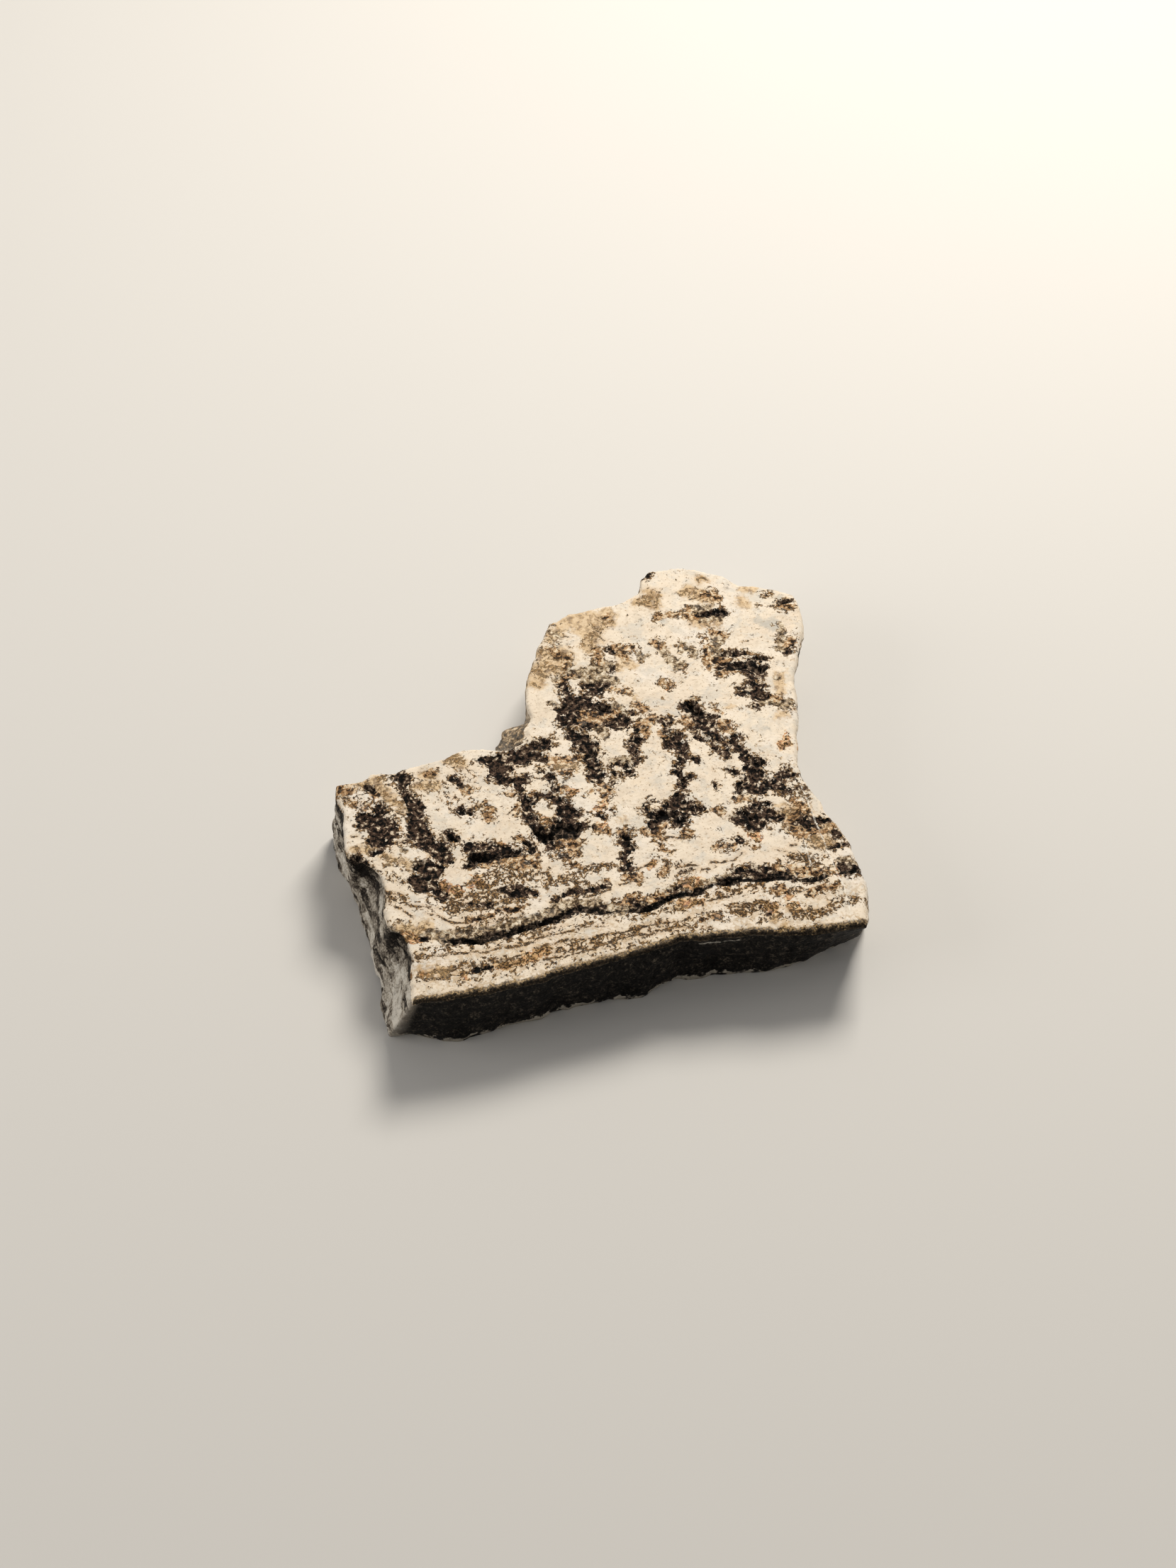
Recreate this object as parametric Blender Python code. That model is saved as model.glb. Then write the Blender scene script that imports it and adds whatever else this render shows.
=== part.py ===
"""A small sawn slab of stromatolite, one piece of banded fossil rock.

The slab lies on its flat underside. X runs along the growth bands, Y runs the way they grew
and Z runs up through the slab. The origin is under the slab's middle, on its underside.
"""

import bmesh
import bpy
import numpy as np

MM = 0.001

# Driving sizes in millimetres
THICKNESS = 4.0
ARM_CELLS = 20
TOWER_CELLS = 29
LOWER_CELLS_UP = 30
TOWER_CELLS_UP = 20
WALL_DEPTHS = (0.14, 0.5, 1.0, 1.7, 2.4, 3.1, 3.7, 4.0)
RIM_ROUNDING = 0.08

# Small flakes off the foot of the wall: mean depth, depth of the scallops, and their spacing
FOOT_CHIP = 0.16
FOOT_SCALLOP = 0.14
FOOT_SCALLOP_X = 3.0
FOOT_SCALLOP_Y = 3.7

# The face's edge, x and y, and how far the foot of the wall stands from it in x and y
FRONT_EDGE = (
    (-11.80, -11.90, -1.30, 1.00),
    (-11.30, -11.85, -0.70, 0.75),
    (-10.60, -11.92, -0.25, 0.35),
    (-9.80, -12.06, -0.05, 0.00),
    (-8.60, -12.15, 0.00, 0.27),
    (-6.00, -12.15, 0.00, 0.40),
    (-4.80, -11.98, 0.00, 0.43),
    (-3.60, -11.86, 0.00, 0.40),
    (-2.20, -11.86, 0.00, 0.42),
    (-1.20, -11.72, 0.00, 0.10),
    (-0.30, -11.68, 0.00, 0.00),
    (0.60, -11.62, 0.00, 0.30),
    (1.50, -11.46, 0.00, 0.40),
    (2.40, -11.66, 0.00, 0.38),
    (4.80, -11.97, 0.00, 0.33),
    (5.90, -12.22, 0.00, 0.48),
    (6.90, -12.56, 0.00, 0.85),
    (8.30, -12.70, 0.00, 1.10),
    (9.40, -12.72, 0.05, 1.60),
    (10.30, -12.85, 0.25, 1.98),
)
LOWER_RIGHT_EDGE = (
    (10.30, -12.85, 0.25, 1.98),
    (10.55, -12.30, 0.40, 1.60),
    (10.85, -11.30, 0.50, 0.95),
    (11.12, -10.40, 0.40, 0.30),
    (11.20, -9.40, 0.30, 0.00),
    (11.12, -8.40, 0.25, 0.00),
    (11.15, -7.60, 0.20, 0.00),
    (10.95, -6.80, 0.20, 0.00),
    (10.54, -5.60, 0.15, 0.00),
    (10.55, -4.80, 0.10, 0.00),
    (10.28, -3.60, 0.05, 0.00),
    (10.12, -3.10, 0.00, 0.00),
    (10.18, -2.20, -0.10, 0.00),
    (10.75, -0.40, -0.30, 0.00),
    (11.15, 0.60, -0.40, 0.05),
    (11.50, 1.70, -0.40, 0.05),
    (11.75, 2.90, -0.45, 0.10),
)
TOWER_RIGHT_EDGE = (
    (11.75, 2.90, -0.45, 0.10),
    (11.92, 3.70, -0.45, 0.10),
    (12.95, 5.75, -0.50, 0.15),
    (13.45, 6.80, -0.45, 0.10),
    (13.68, 7.80, -0.30, 0.05),
    (13.76, 8.80, -0.20, 0.00),
    (13.66, 9.32, -0.15, -0.10),
)
ARM_TOP_EDGE = (
    (-12.85, 2.20, -0.50, 0.05),
    (-12.20, 2.14, -0.20, 0.15),
    (-11.50, 2.08, 0.00, 0.20),
    (-11.02, 2.50, 0.00, 0.20),
    (-9.75, 2.15, 0.00, 0.30),
    (-9.50, 2.32, 0.00, 0.30),
    (-7.15, 2.58, 0.00, 0.25),
    (-6.30, 2.88, 0.00, 0.20),
    (-5.50, 2.78, 0.00, 0.20),
    (-3.68, 2.27, 0.00, 0.20),
    (-3.00, 2.55, -0.10, 0.15),
    (-2.75, 2.90, -0.10, 0.12),
)
TOWER_LEFT_EDGE = (
    (-2.75, 2.90, -0.10, 0.12),
    (-2.62, 3.45, -0.10, 0.10),
    (-2.10, 4.20, -0.12, 0.05),
    (-2.25, 4.85, -0.12, 0.05),
    (-1.85, 6.60, -0.12, 0.05),
    (-1.20, 7.95, -0.12, 0.10),
    (-0.88, 8.40, -0.12, 0.10),
    (-0.72, 8.95, -0.12, 0.10),
    (-0.30, 9.50, -0.12, 0.15),
    (0.32, 10.52, -0.10, 0.20),
)
TOWER_TOP_EDGE = (
    (0.32, 10.52, -0.10, 0.20),
    (0.75, 10.53, 0.00, 0.20),
    (1.45, 10.96, 0.00, 0.15),
    (2.10, 10.86, 0.00, 0.20),
    (3.10, 11.00, 0.00, 0.25),
    (4.40, 11.00, 0.00, 0.25),
    (5.25, 11.42, 0.00, 0.20),
    (5.66, 11.52, -0.10, 0.15),
    (6.00, 12.62, -0.10, 0.05),
    (6.55, 12.98, 0.00, 0.05),
    (8.35, 12.84, 0.00, 0.05),
    (9.00, 12.60, 0.05, 0.10),
    (9.60, 12.05, 0.10, 0.15),
    (10.40, 11.60, 0.10, 0.15),
    (11.05, 10.70, 0.15, 0.15),
    (11.85, 10.62, 0.10, 0.15),
    (13.15, 9.75, 0.00, 0.00),
    (13.66, 9.32, -0.15, -0.10),
)
LEFT_EDGE = (
    (-11.80, -11.90, -1.30, 1.00),
    (-11.68, -11.20, -1.45, 0.45),
    (-11.52, -10.40, -1.65, 0.25),
    (-11.32, -9.40, -1.70, 0.10),
    (-11.36, -8.60, -1.60, 0.00),
    (-11.48, -7.95, -1.45, 0.00),
    (-12.00, -7.15, -0.92, 0.00),
    (-12.03, -6.50, -0.90, 0.00),
    (-11.80, -5.40, -1.15, 0.00),
    (-11.83, -4.10, -1.18, 0.00),
    (-12.15, -3.40, -0.88, 0.00),
    (-12.50, -2.98, -0.50, 0.00),
    (-13.08, -2.70, 0.07, 0.00),
    (-13.20, -2.00, 0.10, 0.00),
    (-12.82, 0.35, -0.70, 0.00),
    (-13.05, 1.35, -0.40, 0.00),
    (-12.85, 2.20, -0.50, 0.05),
)

# Hollows worn into the face where the soft dark bands come up: two ends, half width, depth.
# Their soft sides run out over HOLLOW_SPREAD half widths.
HOLLOW_SPREAD = 1.4
FACE_HOLLOWS = (
    (-11.9, -0.5, -11.0, -1.6, 0.75, 0.18),
    (-9.6, 1.6, -9.4, -2.2, 0.55, 0.16),
    (-9.4, -2.2, -8.8, -3.8, 0.70, 0.20),
    (-8.9, -3.6, -9.8, -5.2, 0.60, 0.16),
    (-7.2, -4.1, -5.2, -4.4, 0.50, 0.20),
    (-5.0, 2.0, -2.0, 2.1, 0.65, 0.16),
    (-4.7, 0.9, -3.6, 0.3, 0.70, 0.18),
    (-3.8, 0.0, -3.6, -4.3, 0.45, 0.16),
    (-2.5, -3.2, -2.0, -3.9, 0.75, 0.24),
    (-0.1, 4.2, 0.2, 3.0, 0.90, 0.20),
    (1.3, 4.6, 2.3, 2.9, 0.80, 0.20),
    (0.0, 2.5, 0.3, -1.0, 0.50, 0.16),
    (2.5, 1.5, 2.3, 0.3, 0.45, 0.15),
    (4.6, 0.9, 4.5, -0.9, 0.60, 0.18),
    (4.2, -1.4, 4.1, -2.6, 0.45, 0.15),
    (5.9, 2.6, 6.5, 0.9, 0.60, 0.28),
    (7.7, 0.2, 7.9, -2.4, 0.50, 0.18),
    (7.2, -3.2, 9.4, -3.3, 0.65, 0.20),
    (6.7, -4.9, 8.1, -5.0, 0.60, 0.24),
    (2.2, -4.0, 4.2, -4.0, 0.55, 0.20),
    (0.4, -4.6, 0.3, -5.3, 0.50, 0.28),
    (8.2, 9.1, 9.6, 8.95, 0.40, 0.30),
    (8.3, 5.3, 10.6, 4.7, 0.60, 0.24),
    (9.8, 3.9, 9.8, 2.4, 0.45, 0.15),
)

# The black wavy band near the front, worn into a groove across the whole face
GROOVE_ROUTE = (
    (-9.5, -8.8),
    (-8.0, -9.1),
    (-6.3, -9.0),
    (-3.0, -8.5),
    (-1.2, -9.2),
    (0.4, -9.3),
    (1.6, -8.9),
    (3.0, -8.95),
    (4.6, -8.6),
    (7.2, -9.1),
    (8.6, -9.6),
    (11.0, -9.6),
)
GROOVE_HALF_WIDTH = 0.45
GROOVE_DEPTH = 0.24

# A ledge left in the inner corner of the outline, where the face broke down to a lower step
LEDGE_MIDDLE = (-2.95, 3.1)
LEDGE_SPREAD = 1.35
LEDGE_TOWARDS = (-0.70, 0.71)
LEDGE_REACH = 1.45
LEDGE_DROP = 1.0

# Scoops flaked out of the walls: rim place, half length, depth below the face, half height, bite
WALL_SCOOPS = (
    (-12.3, -3.7, 0.95, 0.9, 0.9, 0.75),
    (-11.6, -8.2, 0.85, 0.8, 0.8, 0.60),
    (-13.1, -0.6, 1.10, 2.4, 0.9, 0.25),
    (-4.6, -11.9, 1.30, 2.8, 0.8, 0.25),
    (3.4, -11.8, 1.50, 2.6, 0.9, 0.30),
    (11.3, 1.2, 2.00, 2.2, 1.1, 0.35),
    (10.9, -8.0, 1.80, 2.6, 1.0, 0.30),
    (13.4, 6.6, 1.30, 2.0, 1.0, 0.30),
    (9.8, 12.0, 1.40, 2.3, 1.0, 0.35),
    (3.4, 11.0, 1.60, 2.6, 1.1, 0.35),
    (-1.3, 7.6, 1.40, 2.2, 1.0, 0.30),
    (-8.2, 2.5, 1.90, 2.4, 1.1, 0.35),
)

STONE_COLOUR = (0.70, 0.62, 0.50, 1.0)
STONE_ROUGHNESS = 0.8
STONE_METALLIC = 0.0
SHARP_EDGE_DEGREES = 35.0


def spread_along(points, count):
    """Places count + 1 rows evenly along a chain of points."""
    chain = np.array(points, dtype=float)
    steps = np.hypot(*np.diff(chain[:, :2], axis=0).T)
    walked = np.concatenate(([0.0], np.cumsum(steps)))
    wanted = np.linspace(0.0, walked[-1], count + 1)
    columns = [np.interp(wanted, walked, column) for column in chain.T]
    return np.column_stack(columns)


def fill_between(front, right, back, left):
    """Blends four edges into a grid: across plus up, less what both of them count."""
    u = np.linspace(0.0, 1.0, len(front))[None, :, None]
    v = np.linspace(0.0, 1.0, len(left))[:, None, None]
    up = (1 - v) * front[None] + v * back[None]
    across = (1 - u) * left[:, None] + u * right[:, None]
    corners = (1 - v) * ((1 - u) * front[0] + u * front[-1])
    corners = corners + v * ((1 - u) * back[0] + u * back[-1])
    return up + across - corners


def distance_to_stretch(x, y, x0, y0, x1, y1):
    """Distance from each place to the straight stretch between two ends."""
    run_x = x1 - x0
    run_y = y1 - y0
    share = ((x - x0) * run_x + (y - y0) * run_y) / (run_x**2 + run_y**2)
    share = np.clip(share, 0.0, 1.0)
    return np.hypot(x - x0 - share * run_x, y - y0 - share * run_y)


def hollow_profile(distance, half_width, depth):
    """A rounded hollow: deepest on its line and level with the face where its sides run out."""
    inside = np.clip(1.0 - (distance / (HOLLOW_SPREAD * half_width)) ** 2, 0.0, 1.0)
    return depth * inside**2


def face_height(x, y):
    """Height of the sawn face: its thickness less the deepest hollow at each place."""
    worn = np.zeros_like(x)
    for x0, y0, x1, y1, half_width, depth in FACE_HOLLOWS:
        away = distance_to_stretch(x, y, x0, y0, x1, y1)
        worn = np.maximum(worn, hollow_profile(away, half_width, depth))
    for (x0, y0), (x1, y1) in zip(GROOVE_ROUTE, GROOVE_ROUTE[1:]):
        away = distance_to_stretch(x, y, x0, y0, x1, y1)
        worn = np.maximum(worn, hollow_profile(away, GROOVE_HALF_WIDTH, GROOVE_DEPTH))
    return THICKNESS - worn


def outward_directions(rim):
    """Level direction straight out of the wall at each place round the rim."""
    ahead = np.roll(rim, -2, axis=0) - np.roll(rim, 2, axis=0)
    out = np.column_stack([ahead[:, 1], -ahead[:, 0]])
    return out / np.linalg.norm(out, axis=1)[:, None]


def ledge_shift(rim, depth):
    """The ledge: near its middle the wall slopes out to its full reach before it goes down."""
    away = np.hypot(rim[:, 0] - LEDGE_MIDDLE[0], rim[:, 1] - LEDGE_MIDDLE[1])
    reach = LEDGE_REACH * np.exp(-((away / LEDGE_SPREAD) ** 4))
    reach = reach * min(depth / LEDGE_DROP, 1.0)
    return reach[:, None] * np.array(LEDGE_TOWARDS)


def wall_offset(rim, depth):
    """How far the wall stands out at one depth: the rounded rim less scoops and foot chips."""
    offset = np.zeros(len(rim))
    for x, y, half_length, middle, half_height, bite in WALL_SCOOPS:
        along = np.hypot(rim[:, 0] - x, rim[:, 1] - y) / half_length
        down = (depth - middle) / half_height
        offset = offset - bite * np.exp(-(along**2) - down**2)
    if depth == WALL_DEPTHS[-1]:
        along_x = np.sin(2 * np.pi * rim[:, 0] / FOOT_SCALLOP_X)
        along_y = np.cos(2 * np.pi * rim[:, 1] / FOOT_SCALLOP_Y)
        offset = offset - FOOT_CHIP - FOOT_SCALLOP * along_x * along_y
    if depth == WALL_DEPTHS[0]:
        offset = offset + RIM_ROUNDING
    return offset


def add_row(slab, row):
    """Adds one row of the face's grid at its height."""
    heights = face_height(row[:, 0], row[:, 1])
    return [slab.verts.new((x, y, z)) for x, y, z in zip(row[:, 0], row[:, 1], heights)]


def add_cells(slab, rows):
    """Joins rows of points into the four-sided cells between them."""
    for lower, upper in zip(rows, rows[1:]):
        for a, b, c, d in zip(lower, lower[1:], upper[1:], upper):
            slab.faces.new((a, b, c, d))


def build_slab_mesh():
    """Builds the face in two grids, draws its edge down as the wall and closes the underside."""
    seam_ends = (ARM_TOP_EDGE[-1], TOWER_RIGHT_EDGE[0])
    seam = spread_along(seam_ends, TOWER_CELLS)
    arm_top = spread_along(ARM_TOP_EDGE, ARM_CELLS)
    lower = fill_between(
        spread_along(FRONT_EDGE, ARM_CELLS + TOWER_CELLS),
        spread_along(LOWER_RIGHT_EDGE, LOWER_CELLS_UP),
        np.concatenate([arm_top, seam[1:]]),
        spread_along(LEFT_EDGE, LOWER_CELLS_UP),
    )
    tower = fill_between(
        seam,
        spread_along(TOWER_RIGHT_EDGE, TOWER_CELLS_UP),
        spread_along(TOWER_TOP_EDGE, TOWER_CELLS),
        spread_along(TOWER_LEFT_EDGE, TOWER_CELLS_UP),
    )

    slab = bmesh.new()
    rim_place = slab.verts.layers.int.new("rim_place")
    lower_verts = [add_row(slab, row) for row in lower]
    tower_verts = [lower_verts[-1][ARM_CELLS:]]
    tower_verts += [add_row(slab, row) for row in tower[1:]]
    add_cells(slab, lower_verts)
    add_cells(slab, tower_verts)

    edge = np.concatenate([
        lower[0, :-1],
        lower[:-1, -1],
        tower[:-1, -1],
        tower[-1, :0:-1],
        tower[:0:-1, 0],
        lower[-1, ARM_CELLS:0:-1],
        lower[:0:-1, 0],
    ])
    loop = lower_verts[0][:-1]
    loop = loop + [row[-1] for row in lower_verts[:-1] + tower_verts[:-1]]
    loop = loop + tower_verts[-1][:0:-1]
    loop = loop + [row[0] for row in tower_verts[:0:-1]]
    loop = loop + lower_verts[-1][ARM_CELLS:0:-1]
    loop = loop + [row[0] for row in lower_verts[:0:-1]]
    for place, vert in enumerate(loop):
        vert[rim_place] = place

    rim = edge[:, :2]
    foot_shift = edge[:, 2:]
    rim_height = face_height(rim[:, 0], rim[:, 1])
    outward = outward_directions(rim)
    open_edges = [e for e in slab.edges if e.is_boundary]
    for depth in WALL_DEPTHS:
        grown = bmesh.ops.extrude_edge_only(slab, edges=open_edges)["geom"]
        offset = wall_offset(rim, depth)[:, None]
        level = rim + foot_shift * depth / THICKNESS + outward * offset
        level = level + ledge_shift(rim, depth)
        heights = rim_height * (1 - depth / THICKNESS)
        for vert in [g for g in grown if isinstance(g, bmesh.types.BMVert)]:
            place = vert[rim_place]
            vert.co = (level[place, 0], level[place, 1], heights[place])
        open_edges = [e for e in slab.edges if e.is_boundary]
    bmesh.ops.contextual_create(slab, geom=open_edges)

    places = np.array([v.co for v in slab.verts])
    middle = (places.min(axis=0) + places.max(axis=0)) / 2
    bmesh.ops.translate(slab, verts=slab.verts, vec=(-middle[0], -middle[1], 0.0))
    bmesh.ops.scale(slab, verts=slab.verts, vec=(MM, MM, MM))
    bmesh.ops.recalc_face_normals(slab, faces=slab.faces)
    mesh = bpy.data.meshes.new("stromatolite")
    slab.to_mesh(mesh)
    slab.free()
    return mesh


def stone_material():
    """Cream chert, dull and not metallic."""
    material = bpy.data.materials.new("stone")
    material.use_nodes = True
    shader = material.node_tree.nodes["Principled BSDF"]
    shader.inputs["Base Color"].default_value = STONE_COLOUR
    shader.inputs["Roughness"].default_value = STONE_ROUGHNESS
    shader.inputs["Metallic"].default_value = STONE_METALLIC
    return material


def build_stromatolite():
    """The whole slab as one named object."""
    mesh = build_slab_mesh()
    mesh.materials.append(stone_material())
    mesh.shade_smooth()
    mesh.set_sharp_from_angle(angle=np.radians(SHARP_EDGE_DEGREES))
    slab = bpy.data.objects.new("stromatolite", mesh)
    bpy.context.scene.collection.objects.link(slab)


for old in list(bpy.data.objects):
    bpy.data.objects.remove(old, do_unlink=True)
build_stromatolite()
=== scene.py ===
import math

import bpy
import numpy as np
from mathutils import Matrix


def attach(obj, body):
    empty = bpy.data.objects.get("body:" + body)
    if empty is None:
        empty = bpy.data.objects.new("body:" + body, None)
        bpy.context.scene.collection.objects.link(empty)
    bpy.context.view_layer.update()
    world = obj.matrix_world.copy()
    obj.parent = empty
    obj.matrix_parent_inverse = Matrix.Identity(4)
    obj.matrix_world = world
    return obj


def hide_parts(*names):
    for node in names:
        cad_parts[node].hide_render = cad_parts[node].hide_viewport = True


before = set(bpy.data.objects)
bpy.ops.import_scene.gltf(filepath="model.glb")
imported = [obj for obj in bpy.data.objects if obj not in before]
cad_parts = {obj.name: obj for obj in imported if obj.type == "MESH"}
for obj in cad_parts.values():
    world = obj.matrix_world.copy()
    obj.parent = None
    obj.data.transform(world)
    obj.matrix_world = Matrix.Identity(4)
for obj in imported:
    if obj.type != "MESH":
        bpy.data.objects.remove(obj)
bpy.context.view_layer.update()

# The slab's outline.
# The real piece is one slice of banded fossil rock, about 4 mm thick. Its face is sawn flat and its
# sides are broken. All sizes are in mm, in the plane of the sawn face: x along the bands, y the way
# they grew. Each row is x, y and how far the foot of the wall stands from the face's edge in x and y.

MM = 0.001
THICKNESS = 4.0
OUTLINE_MIDDLE = (0.1786, 0.0963)
ARM_COLUMNS = 98
TOWER_COLUMNS = 142
LOWER_ROWS = 150
TOWER_ROWS = 96
# How far the broken edge steps aside, and how long each step is: coarse breaks, then small chips
BREAK_SHIFT = 0.050
BREAK_SIZE = 0.80
CHIP_SHIFT = 0.028
CHIP_SIZE = 0.27

FRONT_EDGE = (
    (-11.80, -11.90, -1.30, 1.00),
    (-11.30, -11.85, -0.70, 0.75),
    (-10.60, -11.92, -0.25, 0.35),
    (-9.80, -12.06, -0.05, 0.00),
    (-8.60, -12.15, 0.00, 0.27),
    (-6.00, -12.15, 0.00, 0.40),
    (-4.80, -11.98, 0.00, 0.43),
    (-3.60, -11.86, 0.00, 0.40),
    (-2.20, -11.86, 0.00, 0.42),
    (-1.20, -11.72, 0.00, 0.10),
    (-0.30, -11.68, 0.00, 0.00),
    (0.60, -11.62, 0.00, 0.30),
    (1.50, -11.46, 0.00, 0.40),
    (2.40, -11.66, 0.00, 0.38),
    (4.80, -11.97, 0.00, 0.33),
    (5.90, -12.22, 0.00, 0.48),
    (6.90, -12.56, 0.00, 0.85),
    (8.30, -12.70, 0.00, 1.10),
    (9.40, -12.72, 0.05, 1.60),
    (10.30, -12.85, 0.25, 1.98),
)
LOWER_RIGHT_EDGE = (
    (10.30, -12.85, 0.25, 1.98),
    (10.55, -12.30, 0.40, 1.60),
    (10.85, -11.30, 0.50, 0.95),
    (11.12, -10.40, 0.40, 0.30),
    (11.20, -9.40, 0.30, 0.00),
    (11.12, -8.40, 0.25, 0.00),
    (11.15, -7.60, 0.20, 0.00),
    (10.95, -6.80, 0.20, 0.00),
    (10.54, -5.60, 0.15, 0.00),
    (10.55, -4.80, 0.10, 0.00),
    (10.28, -3.60, 0.05, 0.00),
    (10.12, -3.10, 0.00, 0.00),
    (10.18, -2.20, -0.10, 0.00),
    (10.75, -0.40, -0.30, 0.00),
    (11.15, 0.60, -0.40, 0.05),
    (11.50, 1.70, -0.40, 0.05),
    (11.75, 2.90, -0.45, 0.10),
)
TOWER_RIGHT_EDGE = (
    (11.75, 2.90, -0.45, 0.10),
    (11.92, 3.70, -0.45, 0.10),
    (12.95, 5.75, -0.50, 0.15),
    (13.45, 6.80, -0.45, 0.10),
    (13.68, 7.80, -0.30, 0.05),
    (13.76, 8.80, -0.20, 0.00),
    (13.66, 9.32, -0.15, -0.10),
)
ARM_TOP_EDGE = (
    (-12.85, 2.20, -0.50, 0.05),
    (-12.20, 2.14, -0.20, 0.15),
    (-11.50, 2.08, 0.00, 0.20),
    (-11.02, 2.50, 0.00, 0.20),
    (-9.75, 2.15, 0.00, 0.30),
    (-9.50, 2.32, 0.00, 0.30),
    (-7.15, 2.58, 0.00, 0.25),
    (-6.30, 2.88, 0.00, 0.20),
    (-5.50, 2.78, 0.00, 0.20),
    (-3.68, 2.27, 0.00, 0.20),
    (-3.00, 2.55, -0.10, 0.15),
    (-2.75, 2.90, -0.10, 0.12),
)
TOWER_LEFT_EDGE = (
    (-2.75, 2.90, -0.10, 0.12),
    (-2.62, 3.45, -0.10, 0.10),
    (-2.10, 4.20, -0.12, 0.05),
    (-2.25, 4.85, -0.12, 0.05),
    (-1.85, 6.60, -0.12, 0.05),
    (-1.20, 7.95, -0.12, 0.10),
    (-0.88, 8.40, -0.12, 0.10),
    (-0.72, 8.95, -0.12, 0.10),
    (-0.30, 9.50, -0.12, 0.15),
    (0.32, 10.52, -0.10, 0.20),
)
TOWER_TOP_EDGE = (
    (0.32, 10.52, -0.10, 0.20),
    (0.75, 10.53, 0.00, 0.20),
    (1.45, 10.96, 0.00, 0.15),
    (2.10, 10.86, 0.00, 0.20),
    (3.10, 11.00, 0.00, 0.25),
    (4.40, 11.00, 0.00, 0.25),
    (5.25, 11.42, 0.00, 0.20),
    (5.66, 11.52, -0.10, 0.15),
    (6.00, 12.62, -0.10, 0.05),
    (6.55, 12.98, 0.00, 0.05),
    (8.35, 12.84, 0.00, 0.05),
    (9.00, 12.60, 0.05, 0.10),
    (9.60, 12.05, 0.10, 0.15),
    (10.40, 11.60, 0.10, 0.15),
    (11.05, 10.70, 0.15, 0.15),
    (11.85, 10.62, 0.10, 0.15),
    (13.15, 9.75, 0.00, 0.00),
    (13.66, 9.32, -0.15, -0.10),
)
LEFT_EDGE = (
    (-11.80, -11.90, -1.30, 1.00),
    (-11.68, -11.20, -1.45, 0.45),
    (-11.52, -10.40, -1.65, 0.25),
    (-11.32, -9.40, -1.70, 0.10),
    (-11.36, -8.60, -1.60, 0.00),
    (-11.48, -7.95, -1.45, 0.00),
    (-12.00, -7.15, -0.92, 0.00),
    (-12.03, -6.50, -0.90, 0.00),
    (-11.80, -5.40, -1.15, 0.00),
    (-11.83, -4.10, -1.18, 0.00),
    (-12.15, -3.40, -0.88, 0.00),
    (-12.50, -2.98, -0.50, 0.00),
    (-13.08, -2.70, 0.07, 0.00),
    (-13.20, -2.00, 0.10, 0.00),
    (-12.82, 0.35, -0.70, 0.00),
    (-13.05, 1.35, -0.40, 0.00),
    (-12.85, 2.20, -0.50, 0.05),
)


def crumble(x, y, z, size, seed):
    """Smooth random heights from -1 to 1: random numbers at the corners of cubes of one size,
    blended across each cube by the eased share of the way, 3t^2 - 2t^3."""
    table = np.random.default_rng(seed).uniform(-1.0, 1.0, (64, 64, 16))
    places = [np.asarray(axis, dtype=float) / size for axis in (x, y, z)]
    low = [np.floor(place).astype(int) for place in places]
    share = [place - corner for place, corner in zip(places, low)]
    eased = [t * t * (3.0 - 2.0 * t) for t in share]
    total = 0.0
    for i in (0, 1):
        weight_x = eased[0] if i else 1.0 - eased[0]
        for j in (0, 1):
            weight_y = eased[1] if j else 1.0 - eased[1]
            for k in (0, 1):
                weight_z = eased[2] if k else 1.0 - eased[2]
                corner = table[(low[0] + i) % 64, (low[1] + j) % 64, (low[2] + k) % 16]
                total = total + corner * weight_x * weight_y * weight_z
    return total


def broken_edge(points, count):
    """Places count + 1 rows evenly along a chain of points and rounds its corners a little, then
    shifts each row by random steps that depend on its place alone, so edges that meet still do."""
    chain = np.array(points, dtype=float)
    steps = np.hypot(*np.diff(chain[:, :2], axis=0).T)
    walked = np.concatenate(([0.0], np.cumsum(steps)))
    wanted = np.linspace(0.0, walked[-1], count + 1)
    rows = np.column_stack([np.interp(wanted, walked, column) for column in chain.T])
    for _ in range(3):
        rows[1:-1] = (rows[:-2] + 2 * rows[1:-1] + rows[2:]) / 4
    x, y = rows[:, 0].copy(), rows[:, 1].copy()
    flat = np.zeros_like(x)
    for column, break_seed, chip_seed in ((0, 11, 12), (1, 13, 14)):
        broken = BREAK_SHIFT * crumble(x, y, flat, BREAK_SIZE, break_seed)
        rows[:, column] += broken + CHIP_SHIFT * crumble(x, y, flat, CHIP_SIZE, chip_seed)
    return rows


def fill_between(front, right, back, left):
    """Blends four edges into a grid: across plus up, less what both of them count."""
    u = np.linspace(0.0, 1.0, len(front))[None, :, None]
    v = np.linspace(0.0, 1.0, len(left))[:, None, None]
    up = (1 - v) * front[None] + v * back[None]
    across = (1 - u) * left[:, None] + u * right[:, None]
    corners = (1 - v) * ((1 - u) * front[0] + u * front[-1])
    corners = corners + v * ((1 - u) * back[0] + u * back[-1])
    return up + across - corners


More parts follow.
